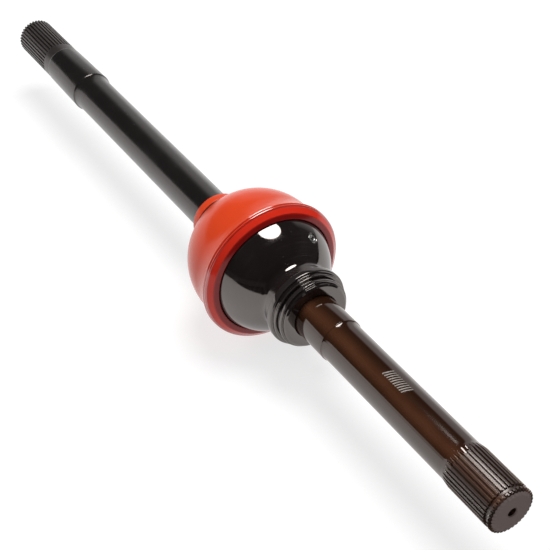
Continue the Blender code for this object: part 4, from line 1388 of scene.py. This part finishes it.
class AXLE_OT_cage_and_race(AxlePiece, bpy.types.Operator):
    """Build the ball cage with its windows and the inner race with its tracks"""

    bl_idname = "axle.cage_and_race"
    bl_label = "Cage and Race"

    def execute(self, context):
        s = context.scene.axle_joint
        finish = bearing_steel(context.scene.axle_finishes)
        inner = RACE_RADIUS + s.sphere_gap
        outer = inner + s.cage
        start, end = math.acos(CAGE_HIGH / outer), math.acos(CAGE_LOW / outer)
        back, front = math.acos(CAGE_LOW / inner), math.acos(CAGE_HIGH / inner)
        outline = arc(0, 0, outer, start, end, 24) + arc(0, 0, inner, back, front, 24)
        outline.append(outline[0])
        cage = turned("cage_finished", outline, finish, 144)
        windows = []
        for k in range(BALL_COUNT):
            mesh = bmesh.new()
            bmesh.ops.create_cube(mesh, size=2)
            size = (BALL_RADIUS + s.gap, BALL_RADIUS, BALL_RADIUS + 0.0017)
            bmesh.ops.scale(mesh, verts=mesh.verts, vec=size)
            upright = [e for e in mesh.edges if abs(e.verts[0].co.y - e.verts[1].co.y) > BALL_RADIUS]
            bmesh.ops.bevel(
                mesh, geom=upright, offset=BALL_RADIUS / 2, segments=8, profile=0.5, affect="EDGES"
            )
            turn = Matrix.Rotation(math.tau * k / BALL_COUNT, 4, "X")
            place = Matrix.Translation(JOINT) @ turn @ Matrix.Translation((0, PITCH_RADIUS, 0))
            mesh.transform(place)
            windows.append(cutter_object(f"window_{k + 1}", mesh, finish))
        self.settle(cut(cage, *windows), "cage_group", "bearing_steel", "cage")

        bore = SPLINE_RADIUS + s.gap
        edge = math.asin(min(1.0, math.sqrt(RACE_RADIUS**2 - RACE_HIGH**2) / RACE_RADIUS))
        outline = [(RACE_HIGH, bore)] + arc(0, 0, RACE_RADIUS, edge, math.pi - edge, 32)
        outline += [(RACE_LOW, bore), (RACE_HIGH, bore)]
        race = turned("inner_race_finished", outline, finish, 144)
        race = cut(race, ball_tracks("race_tracks", s, finish, 90 - 40, 80))
        self.settle(race, "inner_axle", "bearing_steel", "inner_race")
        return {"FINISHED"}


class AXLE_OT_rings(AxlePiece, bpy.types.Operator):
    """Build the spring clips, the O-ring and the boot's wiper"""

    bl_idname = "axle.rings"
    bl_label = "Clips and Seals"

    def execute(self, context):
        s, f = context.scene.axle_joint, context.scene.axle_finishes
        shafts = context.scene.axle_shafts
        for node, body in (
            ("race_snap_ring", "inner_axle"),
            ("race_stop_ring", "inner_axle"),
            ("stub_snap_ring", "outer_axle"),
        ):
            low, high = span(node)
            inner = shafts.clip_seat + s.gap
            corners = [
                (low, inner),
                (low, CLIP_RADIUS, EDGE_ROUND),
                (high, CLIP_RADIUS, EDGE_ROUND),
                (high, inner, 0.0002),
                (low, inner),
            ]
            clip = turned(node + "_finished", rounded(corners), spring_steel(f), 96)
            mesh = bmesh.new()
            bmesh.ops.create_cube(mesh, size=1)
            bmesh.ops.scale(mesh, verts=mesh.verts, vec=(0.006, 0.006, CLIP_RADIUS))
            place = (JOINT.x + (low + high) / 2, 0, -CLIP_RADIUS)
            bmesh.ops.translate(mesh, verts=mesh.verts, vec=place)
            opening = cutter_object(node + "_opening", mesh, spring_steel(f))
            self.settle(cut(clip, opening), body, "spring_steel", node)

        section = (O_RING_HIGH - O_RING_LOW) / 2
        middle = SPLINE_RADIUS - s.gap / 3 - section
        outline = arc((O_RING_LOW + O_RING_HIGH) / 2, middle, section, 0, math.tau, 20)
        ring = turned("stub_o_ring_finished", outline, black_rubber(f), 96)
        self.settle(ring, "outer_axle", "rubber", "stub_o_ring")

        low_r, high_r = bell_radius(s) + 0.00038, bell_radius(s) + s.sphere_gap + 0.0018
        corners = [
            (SEAL_HIGH, math.sqrt(low_r**2 - SEAL_HIGH**2)),
            (SEAL_HIGH, math.sqrt(high_r**2 - SEAL_HIGH**2)),
            (SEAL_LOW, math.sqrt(high_r**2 - SEAL_LOW**2)),
            (SEAL_LOW, math.sqrt(low_r**2 - SEAL_LOW**2)),
        ]
        wiper = turned(
            "boot_seal_ring_finished", rounded(corners + corners[:1]), black_rubber(f), s.facets
        )
        self.settle(wiper, "inner_axle", "rubber", "boot_seal_ring")
        return {"FINISHED"}


class AXLE_OT_studio(AxlePiece, bpy.types.Operator):
    """Build the pale floor, the soft lights, the surroundings and the camera"""

    bl_idname = "axle.studio"
    bl_label = "Studio"

    def execute(self, context):
        scene = context.scene
        self.floor()
        self.surroundings(scene)
        self.softbox("Overhead softbox", (-0.11, 0.17, 0.975), 1.5, 0.90, 22.0, True)
        self.softbox("Side softbox", (-0.45, -0.70, 0.75), 2.2, 1.2, 10.0, False)
        camera = linked("Camera", bpy.data.cameras.new("Camera"))
        camera.data.lens = CAMERA_LENS
        towards = Vector(CAMERA_SIDE).normalized()
        camera.location = Vector((JOINT.x + CAMERA_AIM, 0, 0)) + towards * CAMERA_DISTANCE
        camera.rotation_euler = (-towards).to_track_quat("-Z", "Y").to_euler()
        scene.camera = camera
        scene.view_settings.view_transform = "Standard"
        return {"FINISHED"}

    @staticmethod
    def floor():
        """A wide pale floor. Mirror-like faces see it only up to the front edge of the lit sweep."""
        corners = [(-1, -1), (1, -1), (1, 1), (-1, 1)]
        mesh = bpy.data.meshes.new("floor")
        places = [(x * FLOOR_REACH, y * FLOOR_REACH, GROUND) for x, y in corners]
        mesh.from_pydata(places, [], [(0, 1, 2, 3)])
        made, tree, shader = blank_material(
            "Pale floor",
            Roughness=0.9,
            Base_Color=(0.30, 0.30, 0.30, 1),
            Emission_Color=(1, 1, 1, 1),
        )
        path = tree.nodes.new("ShaderNodeLightPath").outputs
        glow = calc(tree, "MULTIPLY_ADD", path["Is Diffuse Ray"], -0.50, 0.72)
        feed(shader, Emission_Strength=glow)
        edge = JOINT.x + SWEEP_EDGE
        beyond = ramp(tree, object_place(tree)[1]["X"], edge, edge + 0.03)
        share = calc(tree, "MULTIPLY", beyond, path["Is Glossy Ray"])
        unlit = add(tree, "ShaderNodeBsdfDiffuse", {"Color": (0.02, 0.02, 0.02, 1)})
        seen = add(tree, "ShaderNodeMixShader", {0: share, 1: shader.outputs[0], 2: unlit})
        tree.links.new(seen, tree.nodes["Material Output"].inputs["Surface"])
        mesh.materials.append(made)
        linked("floor", mesh)

    @staticmethod
    def softbox(name, direction, distance, size, power, mirrored):
        """A round area light aimed at the joint, which mirror-like faces may see."""
        light = bpy.data.lights.new(name, "AREA")
        light.shape = "DISK"
        light.size = size
        light.energy = power
        made = linked(name, light)
        direction = Vector(direction).normalized()
        made.location = JOINT + direction * distance
        made.rotation_euler = direction.to_track_quat("Z", "Y").to_euler()
        made.visible_glossy = mirrored

    @staticmethod
    def surroundings(scene):
        """Soft even light, with a dark studio above a pale horizon in the reflections."""
        world = bpy.data.worlds.new("Studio")
        world.use_nodes = True
        tree = world.node_tree
        tree.nodes.clear()
        toward = axes_of(tree, add(tree, "ShaderNodeTexCoord", out="Generated"))
        screen = calc(
            tree,
            "MULTIPLY",
            ramp(tree, toward["Y"], 0.05, 0.30),
            ramp(tree, toward["Z"], 0.50, 0.60, 0.56, 0.0),
        )
        screen = calc(tree, "MULTIPLY", screen, ramp(tree, toward["X"], -0.45, -0.15, 1.0, 0.06))
        sweep = calc(
            tree,
            "MULTIPLY",
            ramp(tree, toward["Z"], 0.13, 0.155, 1.0, 0.0),
            ramp(tree, toward["X"], -0.60, -0.45, 1.0, 0.04),
        )
        shown = calc(tree, "MAXIMUM", calc(tree, "MAXIMUM", sweep, screen), 0.012)
        path = tree.nodes.new("ShaderNodeLightPath").outputs
        soft = add(tree, "ShaderNodeMix", {0: path["Is Glossy Ray"], 2: 0.26, 3: shown})
        strength = add(tree, "ShaderNodeMix", {0: path["Is Camera Ray"], 2: soft, 3: 0.92})
        light = add(tree, "ShaderNodeBackground", {"Color": (1, 1, 1, 1), "Strength": strength})
        output = tree.nodes.new("ShaderNodeOutputWorld")
        tree.links.new(light, output.inputs["Surface"])
        scene.world = world


class AXLE_PT_panel(bpy.types.Panel):
    """Lists the steps that build the axle and the sizes they use"""

    bl_idname = "AXLE_PT_panel"
    bl_label = "CV Axle"
    bl_space_type = "VIEW_3D"
    bl_region_type = "UI"
    bl_category = "CV Axle"

    def draw(self, context):
        layout = self.layout
        for operator in PIECE_OPERATORS:
            layout.operator(operator.bl_idname)
        for name, group in PROPERTY_GROUPS.items():
            box = layout.box()
            box.label(text=group.__doc__)
            for key in group.__annotations__:
                box.prop(getattr(context.scene, name), key)


PROPERTY_GROUPS = {
    "axle_shafts": AxleShafts,
    "axle_joint": AxleJoint,
    "axle_boot": AxleBoot,
    "axle_finishes": AxleFinishes,
}
PIECE_OPERATORS = (
    AXLE_OT_inner_shaft,
    AXLE_OT_stub_shaft,
    AXLE_OT_bell,
    AXLE_OT_grease_plug,
    AXLE_OT_boot,
    AXLE_OT_boot_clamp,
    AXLE_OT_balls,
    AXLE_OT_cage_and_race,
    AXLE_OT_rings,
    AXLE_OT_studio,
)


def register():
    for name, group in PROPERTY_GROUPS.items():
        bpy.utils.register_class(group)
        setattr(bpy.types.Scene, name, PointerProperty(type=group))
    for operator in PIECE_OPERATORS:
        bpy.utils.register_class(operator)
    bpy.utils.register_class(AXLE_PT_panel)


def unregister():
    bpy.utils.unregister_class(AXLE_PT_panel)
    for operator in reversed(PIECE_OPERATORS):
        bpy.utils.unregister_class(operator)
    for name, group in reversed(list(PROPERTY_GROUPS.items())):
        delattr(bpy.types.Scene, name)
        bpy.utils.unregister_class(group)


def main():
    register()
    for operator in PIECE_OPERATORS:
        family, step = operator.bl_idname.split(".")
        result = getattr(getattr(bpy.ops, family), step)()
        if result != {"FINISHED"}:
            raise RuntimeError(f"{operator.bl_label} was not finished")


if __name__ == "__main__":
    main()
